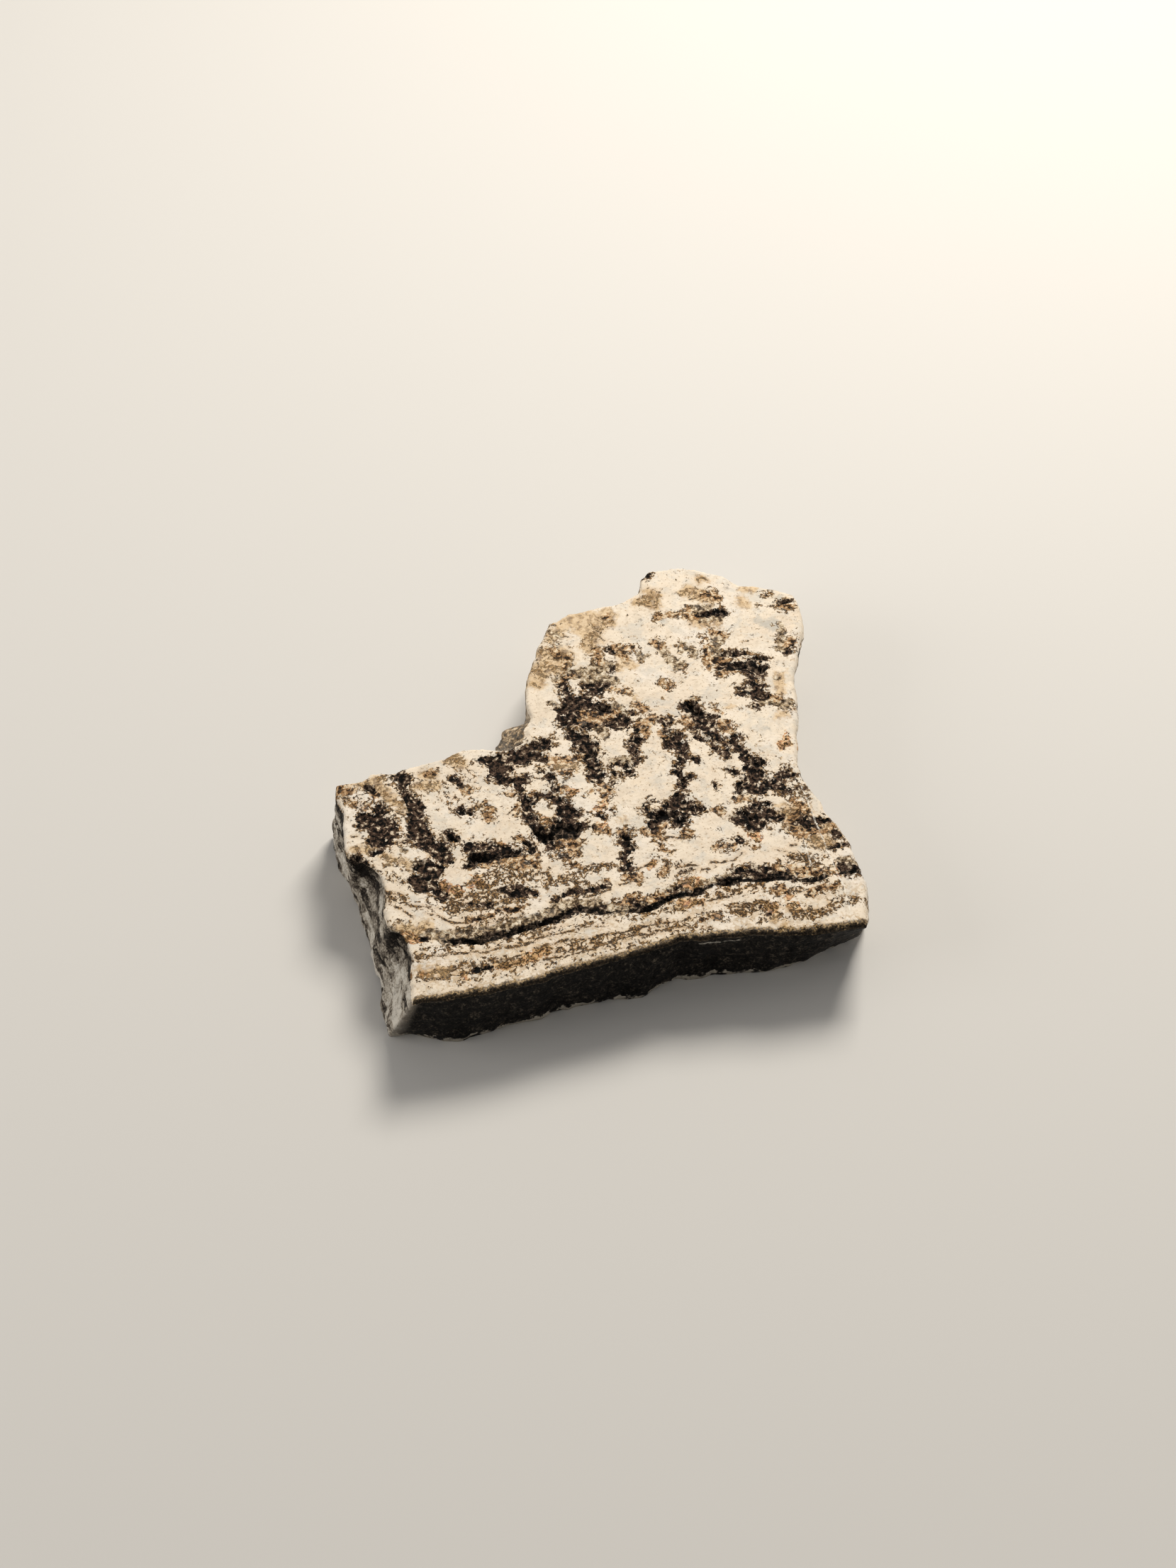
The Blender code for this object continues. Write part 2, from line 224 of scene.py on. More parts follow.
seam = broken_edge((ARM_TOP_EDGE[-1], TOWER_RIGHT_EDGE[0]), TOWER_COLUMNS)
arm_top = broken_edge(ARM_TOP_EDGE, ARM_COLUMNS)
lower = fill_between(
    broken_edge(FRONT_EDGE, ARM_COLUMNS + TOWER_COLUMNS),
    broken_edge(LOWER_RIGHT_EDGE, LOWER_ROWS),
    np.concatenate([arm_top, seam[1:]]),
    broken_edge(LEFT_EDGE, LOWER_ROWS),
)
tower = fill_between(
    seam,
    broken_edge(TOWER_RIGHT_EDGE, TOWER_ROWS),
    broken_edge(TOWER_TOP_EDGE, TOWER_COLUMNS),
    broken_edge(TOWER_LEFT_EDGE, TOWER_ROWS),
)
lower_count = lower.shape[0] * lower.shape[1]
lower_index = np.arange(lower_count).reshape(lower.shape[:2])
tower_index = np.vstack([
    lower_index[-1, ARM_COLUMNS:],
    lower_count + np.arange(TOWER_ROWS * (TOWER_COLUMNS + 1)).reshape(TOWER_ROWS, -1),
])
face_rows = np.concatenate([lower.reshape(-1, 4), tower[1:].reshape(-1, 4)])
rim_index = np.concatenate([
    lower_index[0, :-1],
    lower_index[:-1, -1],
    tower_index[:-1, -1],
    tower_index[-1, :0:-1],
    tower_index[:0:-1, 0],
    lower_index[-1, ARM_COLUMNS:0:-1],
    lower_index[:0:-1, 0],
])
rim_rows = face_rows[rim_index]
rim_count = len(rim_index)


# The bands in the rock.
# Dark, iron-stained mud was trapped between pale silica as the mat of microbes grew upwards, in
# columns above and in thin sheets in front. Each stroke is a half width and the places it runs
# through, in mm on the sawn face.

DARK_STROKES = (
    (0.35, -11.9, -0.3, -11.2, -0.5), (0.40, -11.9, -0.7, -10.9, -1.0),
    (0.35, -11.6, -1.4, -10.7, -1.5), (0.30, -11.6, -1.9, -11.2, -2.1),
    (0.20, -11.8, -2.6, -11.5, -2.4), (0.20, -11.1, 0.2, -10.95, -0.1), (0.30, -9.6, 2.0, -9.5, 1.4),
    (0.12, -9.75, 1.1, -9.6, 0.6), (0.25, -9.5, 0.5, -9.3, 0.1), (0.33, -9.3, 0.1, -9.2, -0.6),
    (0.25, -9.4, -0.6, -9.2, -1.0), (0.50, -9.45, -1.3, -9.4, -2.0), (0.42, -9.4, -2.0, -9.3, -2.6),
    (0.30, -9.3, -2.7, -8.8, -3.2), (0.35, -8.7, -3.4, -8.6, -3.9), (0.20, -8.7, -2.9, -8.1, -2.8),
    (0.12, -8.2, -2.3, -8.0, -2.15), (0.07, -10.5, -2.25, -10.1, -2.25),
    (0.25, -7.2, -3.4, -6.3, -3.6, -5.6, -3.9), (0.40, -9.6, -4.0, -9.2, -4.5),
    (0.40, -10.2, -4.7, -9.8, -5.2), (0.30, -9.5, -5.2, -9.3, -5.6), (0.22, -9.5, -5.7, -9.1, -6.2),
    (0.10, -8.5, -6.9, -7.7, -7.0), (0.10, -7.3, -7.0, -6.9, -7.1), (0.25, -5.9, -6.7, -4.8, -6.9),
    (0.10, -5.7, -6.5, -5.2, -6.5), (0.04, -8.3, -7.75, -7.2, -7.72, -6.3, -7.72, -5.6, -7.7),
    (0.05, -4.0, -7.7, -3.4, -7.6), (0.13, -3.3, -7.55, -2.4, -7.4, -1.1, -7.4),
    (0.25, -5.3, 1.95, -2.2, 2.1), (0.35, -4.9, 1.5, -3.0, 1.6), (0.30, -4.9, 1.0, -4.2, 1.1),
    (0.30, -4.8, 0.5, -4.5, 0.2), (0.18, -4.2, 0.2, -3.4, 0.2), (0.30, -2.9, 2.2, -2.0, 2.3),
    (0.20, -2.6, 1.6, -2.2, 1.2), (0.15, -2.5, 0.4, -2.3, 0.0), (0.15, -3.9, -0.1, -3.85, -0.9),
    (0.17, -3.8, -1.1, -2.6, -1.2), (0.28, -3.8, -1.2, -3.8, -1.9), (0.20, -3.95, -1.9, -3.8, -2.4),
    (0.25, -3.75, -2.5, -3.7, -3.2), (0.13, -2.3, 0.0, -2.2, -0.9), (0.15, -2.5, -1.2, -2.4, -1.7),
    (0.20, -2.3, -1.5, -1.9, -1.9), (0.30, -2.1, -1.9, -1.9, -2.8), (0.22, -1.8, -2.3, -1.5, -2.8),
    (0.20, -2.7, -2.9, -2.0, -3.0), (0.25, -3.5, -3.8, -3.3, -4.4), (0.30, -0.1, 4.9, 0.8, 4.8),
    (0.35, -0.6, 4.3, 0.9, 4.3), (0.35, -0.6, 3.7, 0.3, 3.5), (0.35, -0.7, 3.5, 0.3, 3.4),
    (0.20, -0.6, 2.8, -0.2, 2.2), (0.20, -0.5, 2.2, 0.1, 2.1), (0.10, 0.1, 2.9, 0.5, 2.6),
    (0.20, 0.3, 3.0, 1.6, 3.0), (0.35, 1.5, 3.0, 2.3, 2.6), (0.15, 2.0, 2.4, 2.3, 2.3),
    (0.35, 1.6, 3.4, 2.2, 2.9), (0.12, 2.8, 3.1, 2.9, 3.0), (0.20, -0.1, 5.4, -0.1, 5.9),
    (0.15, 1.2, 5.0, 1.7, 5.2), (0.30, 1.1, 5.6, 2.0, 5.4), (0.10, 2.8, 4.6),
    (0.12, 2.6, 6.3, 2.8, 6.4), (0.16, 2.8, 7.8, 3.0, 7.6), (0.15, -0.5, 1.8, -0.5, 1.5),
    (0.30, -0.1, 1.5, 0.4, 1.5), (0.15, -0.2, 0.8, -0.1, 0.2), (0.15, 0.2, 0.8, 0.3, 0.3),
    (0.25, 0.1, 0.2, 0.1, -0.8), (0.12, -0.2, -0.1, -0.1, -0.5), (0.10, 0.3, 0.0, 0.35, -0.3),
    (0.12, -0.6, -2.9, -0.3, -3.2), (0.05, 0.0, -2.8, 0.3, -2.95), (0.07, -1.4, -3.5, -0.7, -3.7),
    (0.15, 1.5, 0.0, 1.8, -0.2), (0.15, 1.0, -0.2, 1.1, -0.6), (0.15, 1.3, -0.8, 1.8, -0.7),
    (0.07, 0.9, -1.1, 0.8, -1.2), (0.12, 2.4, -0.1, 2.2, -0.3), (0.08, 2.6, -0.15),
    (0.12, 2.9, 2.1, 2.9, 1.8), (0.25, 2.6, 1.5, 2.5, 1.1), (0.20, 2.4, 1.0, 2.3, 0.4),
    (0.12, 2.3, 0.3, 2.2, 0.1), (0.10, 1.9, -3.1, 2.3, -2.9), (0.15, 1.8, -3.3, 1.9, -3.4),
    (0.25, 0.2, -4.9, 0.4, -5.4), (0.12, 0.1, -5.8, 0.3, -5.7), (0.17, 0.1, -6.0, 0.2, -6.7),
    (0.25, 1.9, -4.5, 2.3, -4.2), (0.08, 2.5, -7.1), (0.04, 2.5, -7.65, 3.0, -7.65),
    (0.15, 1.8, -8.5, 2.2, -8.4), (0.20, 4.4, 2.3, 4.7, 2.1), (0.20, 4.3, 0.9, 4.9, 1.0),
    (0.30, 4.2, 0.6, 4.9, 0.5), (0.25, 4.5, 0.1, 4.8, 0.0), (0.20, 4.5, -0.4, 5.3, -0.7),
    (0.20, 4.3, -0.8, 4.5, -0.9), (0.15, 4.15, -2.1, 4.2, -2.4), (0.10, 3.9, -2.0, 3.85, -2.3),
    (0.30, 6.1, 1.9, 6.5, 1.5), (0.20, 5.6, 1.3, 6.8, 1.3), (0.15, 6.8, 1.9, 7.1, 1.8),
    (0.25, 6.5, 1.0, 6.8, 0.4), (0.15, 5.8, 0.7, 6.2, 0.4), (0.20, 6.4, -0.1, 6.9, -0.7),
    (0.12, 7.0, -0.2, 7.3, -0.2), (0.25, 7.6, 0.3, 7.6, -0.6), (0.25, 7.8, -1.0, 8.0, -1.3),
    (0.25, 7.7, -2.0, 8.1, -2.1), (0.30, 7.5, -2.6, 8.2, -2.5), (0.35, 7.5, -3.2, 7.9, -3.4),
    (0.25, 8.1, -3.2, 9.0, -3.2), (0.25, 9.2, -2.7, 9.6, -3.0), (0.15, 9.0, -3.9, 9.9, -3.9),
    (0.12, 6.6, -1.8, 6.9, -2.0), (0.12, 9.2, 2.0, 9.6, 1.8), (0.15, 9.5, 2.9, 9.6, 2.4),
    (0.25, 3.0, -3.4, 3.8, -3.6), (0.20, 3.6, -3.2, 4.2, -3.4), (0.12, 4.0, -3.9, 4.7, -3.95),
    (0.15, 3.6, -4.0, 4.7, -4.1), (0.20, 7.4, -4.3, 8.0, -4.4), (0.35, 6.4, -5.0, 7.6, -5.2),
    (0.25, 7.8, -5.0, 8.2, -5.4), (0.20, 6.6, -5.6, 7.3, -5.6), (0.20, 9.1, -5.9, 9.8, -6.1),
    (0.15, 9.3, -6.4, 9.7, -6.5), (0.15, 10.0, -6.1, 10.6, -6.2), (0.15, 10.6, -7.1, 10.7, -7.3),
    (0.12, 10.1, -7.9, 11.0, -7.95), (0.10, 5.7, -6.3, 5.9, -6.4), (0.25, 5.2, -8.3, 6.6, -8.5),
    (0.10, 7.7, -9.3, 8.4, -9.6), (0.22, 10.3, -9.3, 11.0, -9.3), (0.08, 9.0, -8.8), (0.20, 5.6, -10.6),
    (0.20, 8.8, 6.0, 9.9, 5.8), (0.25, 8.4, 5.1, 9.0, 5.0), (0.25, 9.5, 4.6, 10.3, 4.2),
    (0.20, 9.6, 4.0, 9.8, 3.4), (0.15, 8.9, 3.5, 9.5, 3.3), (0.12, 8.7, 3.1, 9.0, 3.0),
    (0.25, 9.7, 3.0, 9.9, 3.2), (0.25, 9.6, 2.6, 9.9, 2.5), (0.15, 12.1, 5.2, 12.4, 5.4),
    (0.22, 6.3, 12.7, 6.5, 12.9),
)
PIT_STROKES = (
    (0.18, -11.4, 1.7, -11.15, 1.3), (0.20, -8.0, -2.6, -7.75, -2.8), (0.15, -6.85, 1.0, -6.8, 0.6),
    (0.17, -7.1, -0.95, -7.05, -1.2), (0.12, -6.65, -1.15, -6.6, -1.25),
    (0.30, -12.9, -2.8, -12.6, -3.2, -12.3, -3.9), (0.15, -9.8, -4.8), (0.20, -7.4, -4.4, -7.2, -3.9),
    (0.30, -7.0, -4.1, -6.4, -4.2), (0.20, -6.2, -4.2, -5.0, -4.4), (0.14, -5.9, -4.2, -5.1, -4.5),
    (0.12, -10.8, -8.2, -10.6, -8.4), (0.12, -6.4, -6.5, -6.0, -6.5), (0.15, -6.0, -6.9, -5.6, -7.0),
    (0.10, -8.5, -10.9, -7.9, -10.9), (0.15, -2.1, 1.9), (0.12, -3.5, 0.3),
    (0.30, -3.6, -3.2, -3.5, -4.0), (0.30, -2.8, -3.3, -1.8, -3.4), (0.30, -3.1, -3.7, -1.9, -3.8),
    (0.15, -4.4, -3.9, -4.3, -4.6), (0.25, -3.0, -3.7, -2.3, -3.9), (0.20, 0.3, 1.2, 0.45, 0.9),
    (0.15, 2.2, -3.6, 3.0, -3.7), (0.08, -2.7, -7.3), (0.18, 0.5, -4.5, 0.6, -4.8), (0.08, -0.1, -6.6),
    (0.30, 2.2, -3.8, 2.6, -4.0), (0.25, 2.5, -3.7, 3.2, -4.0), (0.22, 3.1, -4.4, 3.7, -4.3),
    (0.15, -0.3, 4.2), (0.15, 0.6, 4.3), (0.15, 0.1, 3.5), (0.25, 1.4, 4.1, 1.9, 3.9), (0.15, 0.2, 5.3),
    (0.12, 1.3, 5.6), (0.12, 1.6, 4.85), (0.15, 4.55, 1.9, 4.5, 1.6), (0.20, 2.6, 1.4, 2.8, 1.3),
    (0.20, 4.2, -1.3, 4.3, -1.8), (0.10, 4.6, -1.8), (0.12, 3.95, -2.8, 3.8, -3.0),
    (0.25, 6.1, 3.0, 6.2, 2.2), (0.20, 5.8, 2.8, 6.2, 2.2), (0.10, 7.9, 0.1),
    (0.20, 8.2, -1.5, 8.35, -1.7), (0.20, 7.0, -2.9, 6.9, -3.3), (0.12, 8.0, -3.6, 9.0, -3.6),
    (0.08, 9.5, -2.35), (0.08, 5.8, -2.5, 5.75, -2.8), (0.20, 6.6, -4.6, 6.9, -5.0),
    (0.18, 7.1, -4.5, 7.3, -4.6), (0.15, 8.2, 9.1, 8.6, 9.1), (0.17, 8.8, 9.05, 9.6, 8.9),
    (0.22, 9.1, 5.1, 10.0, 4.9), (0.25, 10.0, 4.7, 10.4, 4.4), (0.12, 10.1, 5.2, 10.8, 5.1),
    (0.12, 12.7, 8.9, 13.5, 8.85), (0.07, 5.9, -11.2), (0.12, -9.3, -8.9, -8.6, -8.95),
    (0.18, -8.4, -9.05, -7.8, -9.15), (0.18, -7.6, -9.0, -6.6, -9.1), (0.12, -6.5, -9.0, -5.5, -9.0),
    (0.10, -6.0, -9.05, -4.9, -9.0), (0.12, -4.8, -8.8, -4.0, -8.85), (0.10, -3.9, -8.7, -3.1, -8.6),
    (0.12, -3.0, -8.5, -2.6, -8.5), (0.20, -2.3, -8.6, -1.8, -8.7), (0.12, -0.3, -8.8, 0.0, -9.1),
    (0.15, 0.1, -9.2, 1.0, -9.3), (0.12, 1.0, -9.1, 2.0, -8.9), (0.12, 2.2, -8.8, 3.0, -8.9),
    (0.10, 2.5, -8.9, 3.2, -8.95), (0.22, 4.5, -8.6, 5.0, -8.65), (0.15, 5.9, -8.7, 6.5, -8.8),
    (0.15, 6.6, -8.9, 7.5, -9.1), (0.12, 8.6, -9.6, 9.1, -9.6), (0.12, 10.4, -9.7, 10.6, -9.7),
    (0.10, 11.0, -9.7),
)
BROWN_STROKES = (
    (0.15, -11.2, 1.2, -11.05, 0.9), (0.10, -12.5, 0.8, -12.1, 0.6, -11.7, 0.35),
    (0.20, -6.8, 0.4, -6.6, 0.2), (0.15, -5.85, -1.6, -5.8, -1.9), (0.25, -12.7, 1.9, -12.4, 1.5),
    (0.15, -8.1, 1.7, -7.8, 1.6), (0.12, -10.2, -1.3), (0.15, -12.7, -2.6),
    (0.12, -6.9, -4.6, -5.9, -4.7),
    (0.10, -8.3, -7.75, -7.6, -7.7, -6.8, -7.75, -6.3, -7.7, -5.5, -7.7), (0.12, -1.9, 1.3, -1.5, 1.1),
    (0.15, -1.9, 0.9, -0.5, 0.8), (0.10, -1.8, 0.1, -1.2, 0.1), (0.10, -3.4, -0.8, -3.2, -0.9),
    (0.10, -4.5, -1.8, -4.3, -1.6), (0.12, -1.9, -1.0, -1.6, -0.9), (0.40, 0.2, 3.3, 2.0, 3.4),
    (0.12, 0.0, -0.9, 0.3, -1.3), (0.08, -0.5, -1.5), (0.10, 0.3, -1.6, 0.6, -1.7),
    (0.12, 0.0, -1.5, 0.1, -2.2), (0.12, -5.7, -1.2, -5.5, -1.4), (0.12, -5.9, -1.7, -5.7, -1.9),
    (0.10, -5.8, -0.8), (0.07, -4.4, -0.6), (0.12, -4.7, -3.4, -4.5, -3.7),
    (0.25, -2.7, -4.2, -1.9, -4.3), (0.20, -2.9, -4.6, -2.1, -4.8), (0.15, -3.1, -5.2, -2.6, -5.4),
    (0.15, -2.5, -5.0, -2.2, -5.2), (0.12, -2.6, -5.6, -2.2, -5.9), (0.12, -5.9, -4.8, -4.1, -4.9),
    (0.20, -5.0, -5.3, -4.3, -5.4), (0.10, -1.2, -7.2), (0.10, -0.7, -4.0, -0.4, -4.2),
    (0.10, 0.2, -4.3, 0.7, -4.2), (0.20, 0.1, -7.1, 0.3, -7.4), (0.12, 1.4, -4.6, 1.9, -4.9),
    (0.20, 2.2, -4.6, 2.5, -4.7), (0.10, 1.7, -5.2, 2.1, -5.3), (0.10, 2.0, -5.7, 2.4, -6.0),
    (0.12, 1.9, -7.0, 1.6, -7.4), (0.25, -0.7, -8.55, -0.1, -8.55), (0.20, 0.6, -8.7, 1.7, -8.7),
    (0.15, 3.1, 2.2, 3.6, 2.3), (0.12, 3.3, 1.5, 3.2, 1.8), (0.12, 4.1, 1.4, 4.3, 1.2),
    (0.20, 5.5, 2.2, 5.7, 1.5), (0.10, 7.2, 0.8, 7.7, 0.9), (0.20, 7.2, 1.4, 7.5, 1.2),
    (0.12, 7.4, 2.4, 7.5, 2.1), (0.12, 6.5, -3.6, 7.2, -3.7), (0.12, 3.3, -5.0, 3.6, -5.3),
    (0.12, 5.2, -4.2, 5.6, -4.4), (0.12, 9.2, -4.6, 9.5, -4.9), (0.20, 8.5, -5.6, 9.0, -5.7),
    (0.12, 9.2, -5.3, 9.6, -5.5), (0.20, 8.6, -6.3, 9.0, -6.7), (0.15, 9.2, -6.7, 10.0, -6.8),
    (0.12, 10.2, -6.7, 10.8, -6.7), (0.12, 4.7, -6.6, 5.4, -6.7), (0.07, 6.4, -7.0),
    (0.15, 7.0, -8.5, 7.6, -8.8), (0.15, 7.8, -8.3, 7.9, -8.8), (0.20, 8.2, -9.1, 9.0, -9.3),
    (0.12, 6.6, -9.8, 7.2, -9.8), (0.12, 8.3, -10.3, 9.8, -10.3), (0.10, 2.9, -10.6),
    (0.20, 3.6, -10.7), (0.35, 0.5, 3.8, 1.2, 3.4), (0.20, 2.3, 5.0, 3.0, 4.7),
    (0.15, 0.0, 6.2, 0.3, 6.5), (0.10, 0.7, 6.6), (0.20, 2.1, 7.1, 2.3, 7.9),
    (0.15, 0.6, 7.8, 0.4, 7.2), (0.20, 0.0, 8.5, 0.2, 8.1), (0.12, 3.4, 10.2),
    (0.15, 3.5, 7.3, 3.6, 6.9), (0.20, 3.1, 7.9, 3.8, 7.7), (0.10, 4.1, 7.7, 4.3, 7.6),
    (0.20, 3.3, 3.6, 3.6, 3.3), (0.12, 5.2, 4.8), (0.10, 3.9, 2.6), (0.15, 3.0, 2.3, 3.8, 2.3),
    (0.20, 4.5, 2.4, 4.8, 2.3), (0.10, 6.5, 11.1), (0.12, 6.2, 9.5, 7.2, 9.4),
    (0.15, 8.8, 10.4, 9.2, 10.3), (0.20, 9.4, 10.5, 9.5, 10.0), (0.12, 7.8, 9.6, 7.6, 9.1),
    (0.15, 8.8, 7.7, 9.1, 7.3), (0.10, 8.2, 7.4), (0.15, 8.1, 6.7, 8.0, 6.0),
    (0.20, 7.9, 5.9, 7.8, 5.3), (0.20, 8.3, 5.6, 8.7, 5.5), (0.10, 10.2, 5.5),
    (0.12, 8.2, 4.6, 8.8, 4.7), (0.12, 10.1, 2.4, 10.8, 2.2), (0.20, 12.6, 8.6, 13.3, 8.5),
    (0.10, 12.2, 6.1, 12.6, 6.1), (0.15, 12.4, 5.8), (0.12, 6.8, 7.1), (0.10, 6.4, 5.4),
    (0.12, 5.5, 7.7, 5.6, 7.2), (0.10, 5.2, 4.8, 5.5, 4.7), (0.12, 5.3, 4.4),
    (0.12, 6.0, 3.1, 6.3, 3.3), (0.10, 7.3, 2.4), (0.06, 12.2, 9.8),
)
OLIVE_STROKES = (
    (0.12, -10.4, -2.9, -10.2, -3.0), (0.20, -10.5, -8.2, -9.8, -8.6, -9.0, -8.8),
    (0.20, -9.8, -8.6, -5.5, -8.6), (0.25, 0.9, 2.6, 1.2, 2.0), (0.20, 1.2, 0.4, 1.9, 0.1),
    (0.25, -5.8, -8.6, -5.4, -8.8), (0.30, -4.4, -8.5, -2.0, -8.2), (0.15, -1.9, -9.0, -1.0, -9.2),
    (0.12, -1.5, -8.95, -0.7, -9.1), (0.35, 9.9, 2.3, 10.9, 1.8), (0.15, 10.5, -8.9, 10.9, -8.9),
    (0.30, 2.2, 3.9, 2.4, 3.2), (0.40, 1.5, 6.0, 2.5, 5.7), (0.35, 0.7, 6.6, 2.5, 6.7),
    (0.20, -0.2, 6.3, 0.3, 6.7), (0.15, 4.5, 7.1, 4.4, 6.8), (0.10, 4.8, 7.0),
    (0.12, -1.0, 4.9, -0.8, 4.7), (0.25, 8.2, 9.6, 8.9, 9.5), (0.30, 8.5, 8.8, 9.3, 8.7),
    (0.30, 8.8, 7.5, 8.7, 6.7), (0.40, 8.3, 6.4, 8.3, 5.8), (0.15, 12.3, 7.4, 12.2, 6.6),
    (0.25, 12.0, 6.2, 11.8, 5.8), (0.20, 12.1, 5.6, 12.2, 5.2), (0.22, 6.9, 7.2, 7.2, 6.2),
    (0.22, 5.4, 7.6, 5.7, 6.8, 6.2, 6.2), (0.25, 5.9, 6.2, 6.2, 5.7), (0.12, 11.75, 9.0),
    (0.12, 11.1, 3.5), (0.15, 0.1, 9.9, 0.5, 9.4),
)
RUST_STROKES = (
    (0.30, -8.9, -5.6, -8.4, -6.1), (0.15, -7.7, -5.8), (0.12, -7.3, -5.3, -7.3, -5.6),
    (0.25, -11.5, -8.0, -10.8, -8.3), (0.20, -11.0, -10.3), (0.15, -7.5, -10.8, -5.5, -10.9),
    (0.12, -9.1, -11.1), (0.15, -3.3, -2.5, -2.9, -2.9), (0.15, -1.4, -1.2, -1.6, -1.5),
    (0.15, -0.1, -2.3, -0.4, -2.7), (0.12, -0.5, -3.6, -0.4, -3.9), (0.10, -5.7, -3.5),
    (0.12, 1.2, -6.7), (0.25, 2.5, -8.5, 3.0, -8.4), (0.12, 2.1, -9.4, 2.9, -9.5),
    (0.25, -5.8, -10.6, -5.1, -10.6), (0.30, 10.0, -0.9), (0.12, 10.3, -0.4),
    (0.20, 6.6, -5.9, 6.7, -6.4), (0.25, 2.5, -8.4, 3.3, -8.6), (0.20, 9.3, -9.4, 9.9, -9.4),
    (0.15, 7.2, -10.2), (0.30, 6.2, -10.8), (0.25, 7.3, -10.9), (0.10, 5.1, 4.4),
    (0.08, 7.7, 8.9, 8.3, 8.9),
)
TAN_STROKES = (
    (0.25, -12.0, 2.0, -11.4, 1.8), (0.35, -10.9, 2.0, -10.5, 1.0), (0.25, -10.6, 0.6, -9.9, -0.2),
    (0.25, -8.9, 1.1, -8.0, 0.7), (0.30, -8.4, 1.8, -7.9, 1.5), (0.35, -6.8, 2.5, -6.4, 2.1),
    (0.25, -12.8, -2.2, -12.0, -2.3), (0.20, -11.4, -3.0, -10.2, -3.8), (0.20, -1.6, 0.6, -0.9, 0.4),
    (0.05, 0.4, -3.5, 0.8, -3.7), (0.15, 8.0, 2.4), (0.20, 10.6, 1.2, 10.1, 1.0),
    (0.12, 8.4, -4.7, 8.8, -4.8), (0.20, 6.0, -11.5), (0.20, 6.7, -12.1), (0.40, -1.3, 6.5, -0.9, 7.0),
    (0.55, -0.9, 7.2, 0.4, 7.6), (0.40, -0.6, 8.2, 0.4, 8.3), (0.30, 0.1, 9.4, 0.6, 9.9),
    (0.50, 1.2, 10.4, 3.4, 10.3), (0.45, 2.0, 9.7, 3.3, 9.9), (0.40, 2.0, 8.3, 2.6, 9.3),
    (0.30, 3.2, 6.5, 3.8, 6.4), (0.30, 3.3, 7.6, 3.6, 7.0), (0.30, 5.3, 10.9, 6.1, 10.3),
    (0.35, 6.0, 11.3, 6.4, 10.9), (0.40, 8.0, 11.0, 8.7, 10.5), (0.35, 9.0, 10.5, 9.3, 10.1),
    (0.25, 9.2, 11.7), (0.35, 7.8, 9.3, 8.2, 8.5), (0.30, 8.6, 8.6, 9.2, 8.3),
    (0.25, 10.8, 9.6, 11.1, 9.1), (0.20, 11.2, 10.4, 11.7, 10.2), (0.15, 13.3, 9.2),
    (0.30, -11.6, -7.4, -10.3, -7.75), (0.25, -11.0, -10.2, -10.0, -10.4),
    (0.35, 8.8, -6.0, 10.4, -6.6), (0.30, 8.6, -5.4, 9.6, -5.2), (0.25, 9.4, -7.3, 10.4, -7.6),
    (0.25, 10.9, 2.6, 11.3, 3.8), (0.15, 3.4, 4.2),
)
HAZE_STROKES = (
    (0.15, 9.3, 0.5), (0.20, 0.3, 8.7), (0.20, 0.2, 9.5, 0.5, 9.7), (0.12, 3.7, 6.7), (0.15, 6.3, 9.2),
    (0.12, 12.6, 9.4, 12.9, 9.3), (0.30, 12.0, 7.5), (0.25, 5.9, 5.8, 6.2, 5.6),
    (0.25, 11.2, 7.8, 11.8, 7.2),
)
CREAM_STROKES = (
    (0.15, -8.3, -2.6), (0.15, -4.1, 0.6, -3.7, 0.75), (0.60, -3.0, -1.9), (0.12, 0.2, 2.55, 0.5, 2.4),
    (0.12, -0.5, 1.45), (0.12, 7.9, -4.7, 8.1, -4.8), (0.08, 7.85, -3.1), (0.25, 0.7, 5.8, 0.6, 5.5),
    (0.20, 2.0, 4.4, 2.3, 4.4),
)
CRACK_STROKES = (
    (0.02, 9.95, -3.5, 9.93, -9.5, 10.0, -10.5, 9.8, -12.0), (0.02, 9.0, -7.0, 8.85, -8.8),
)
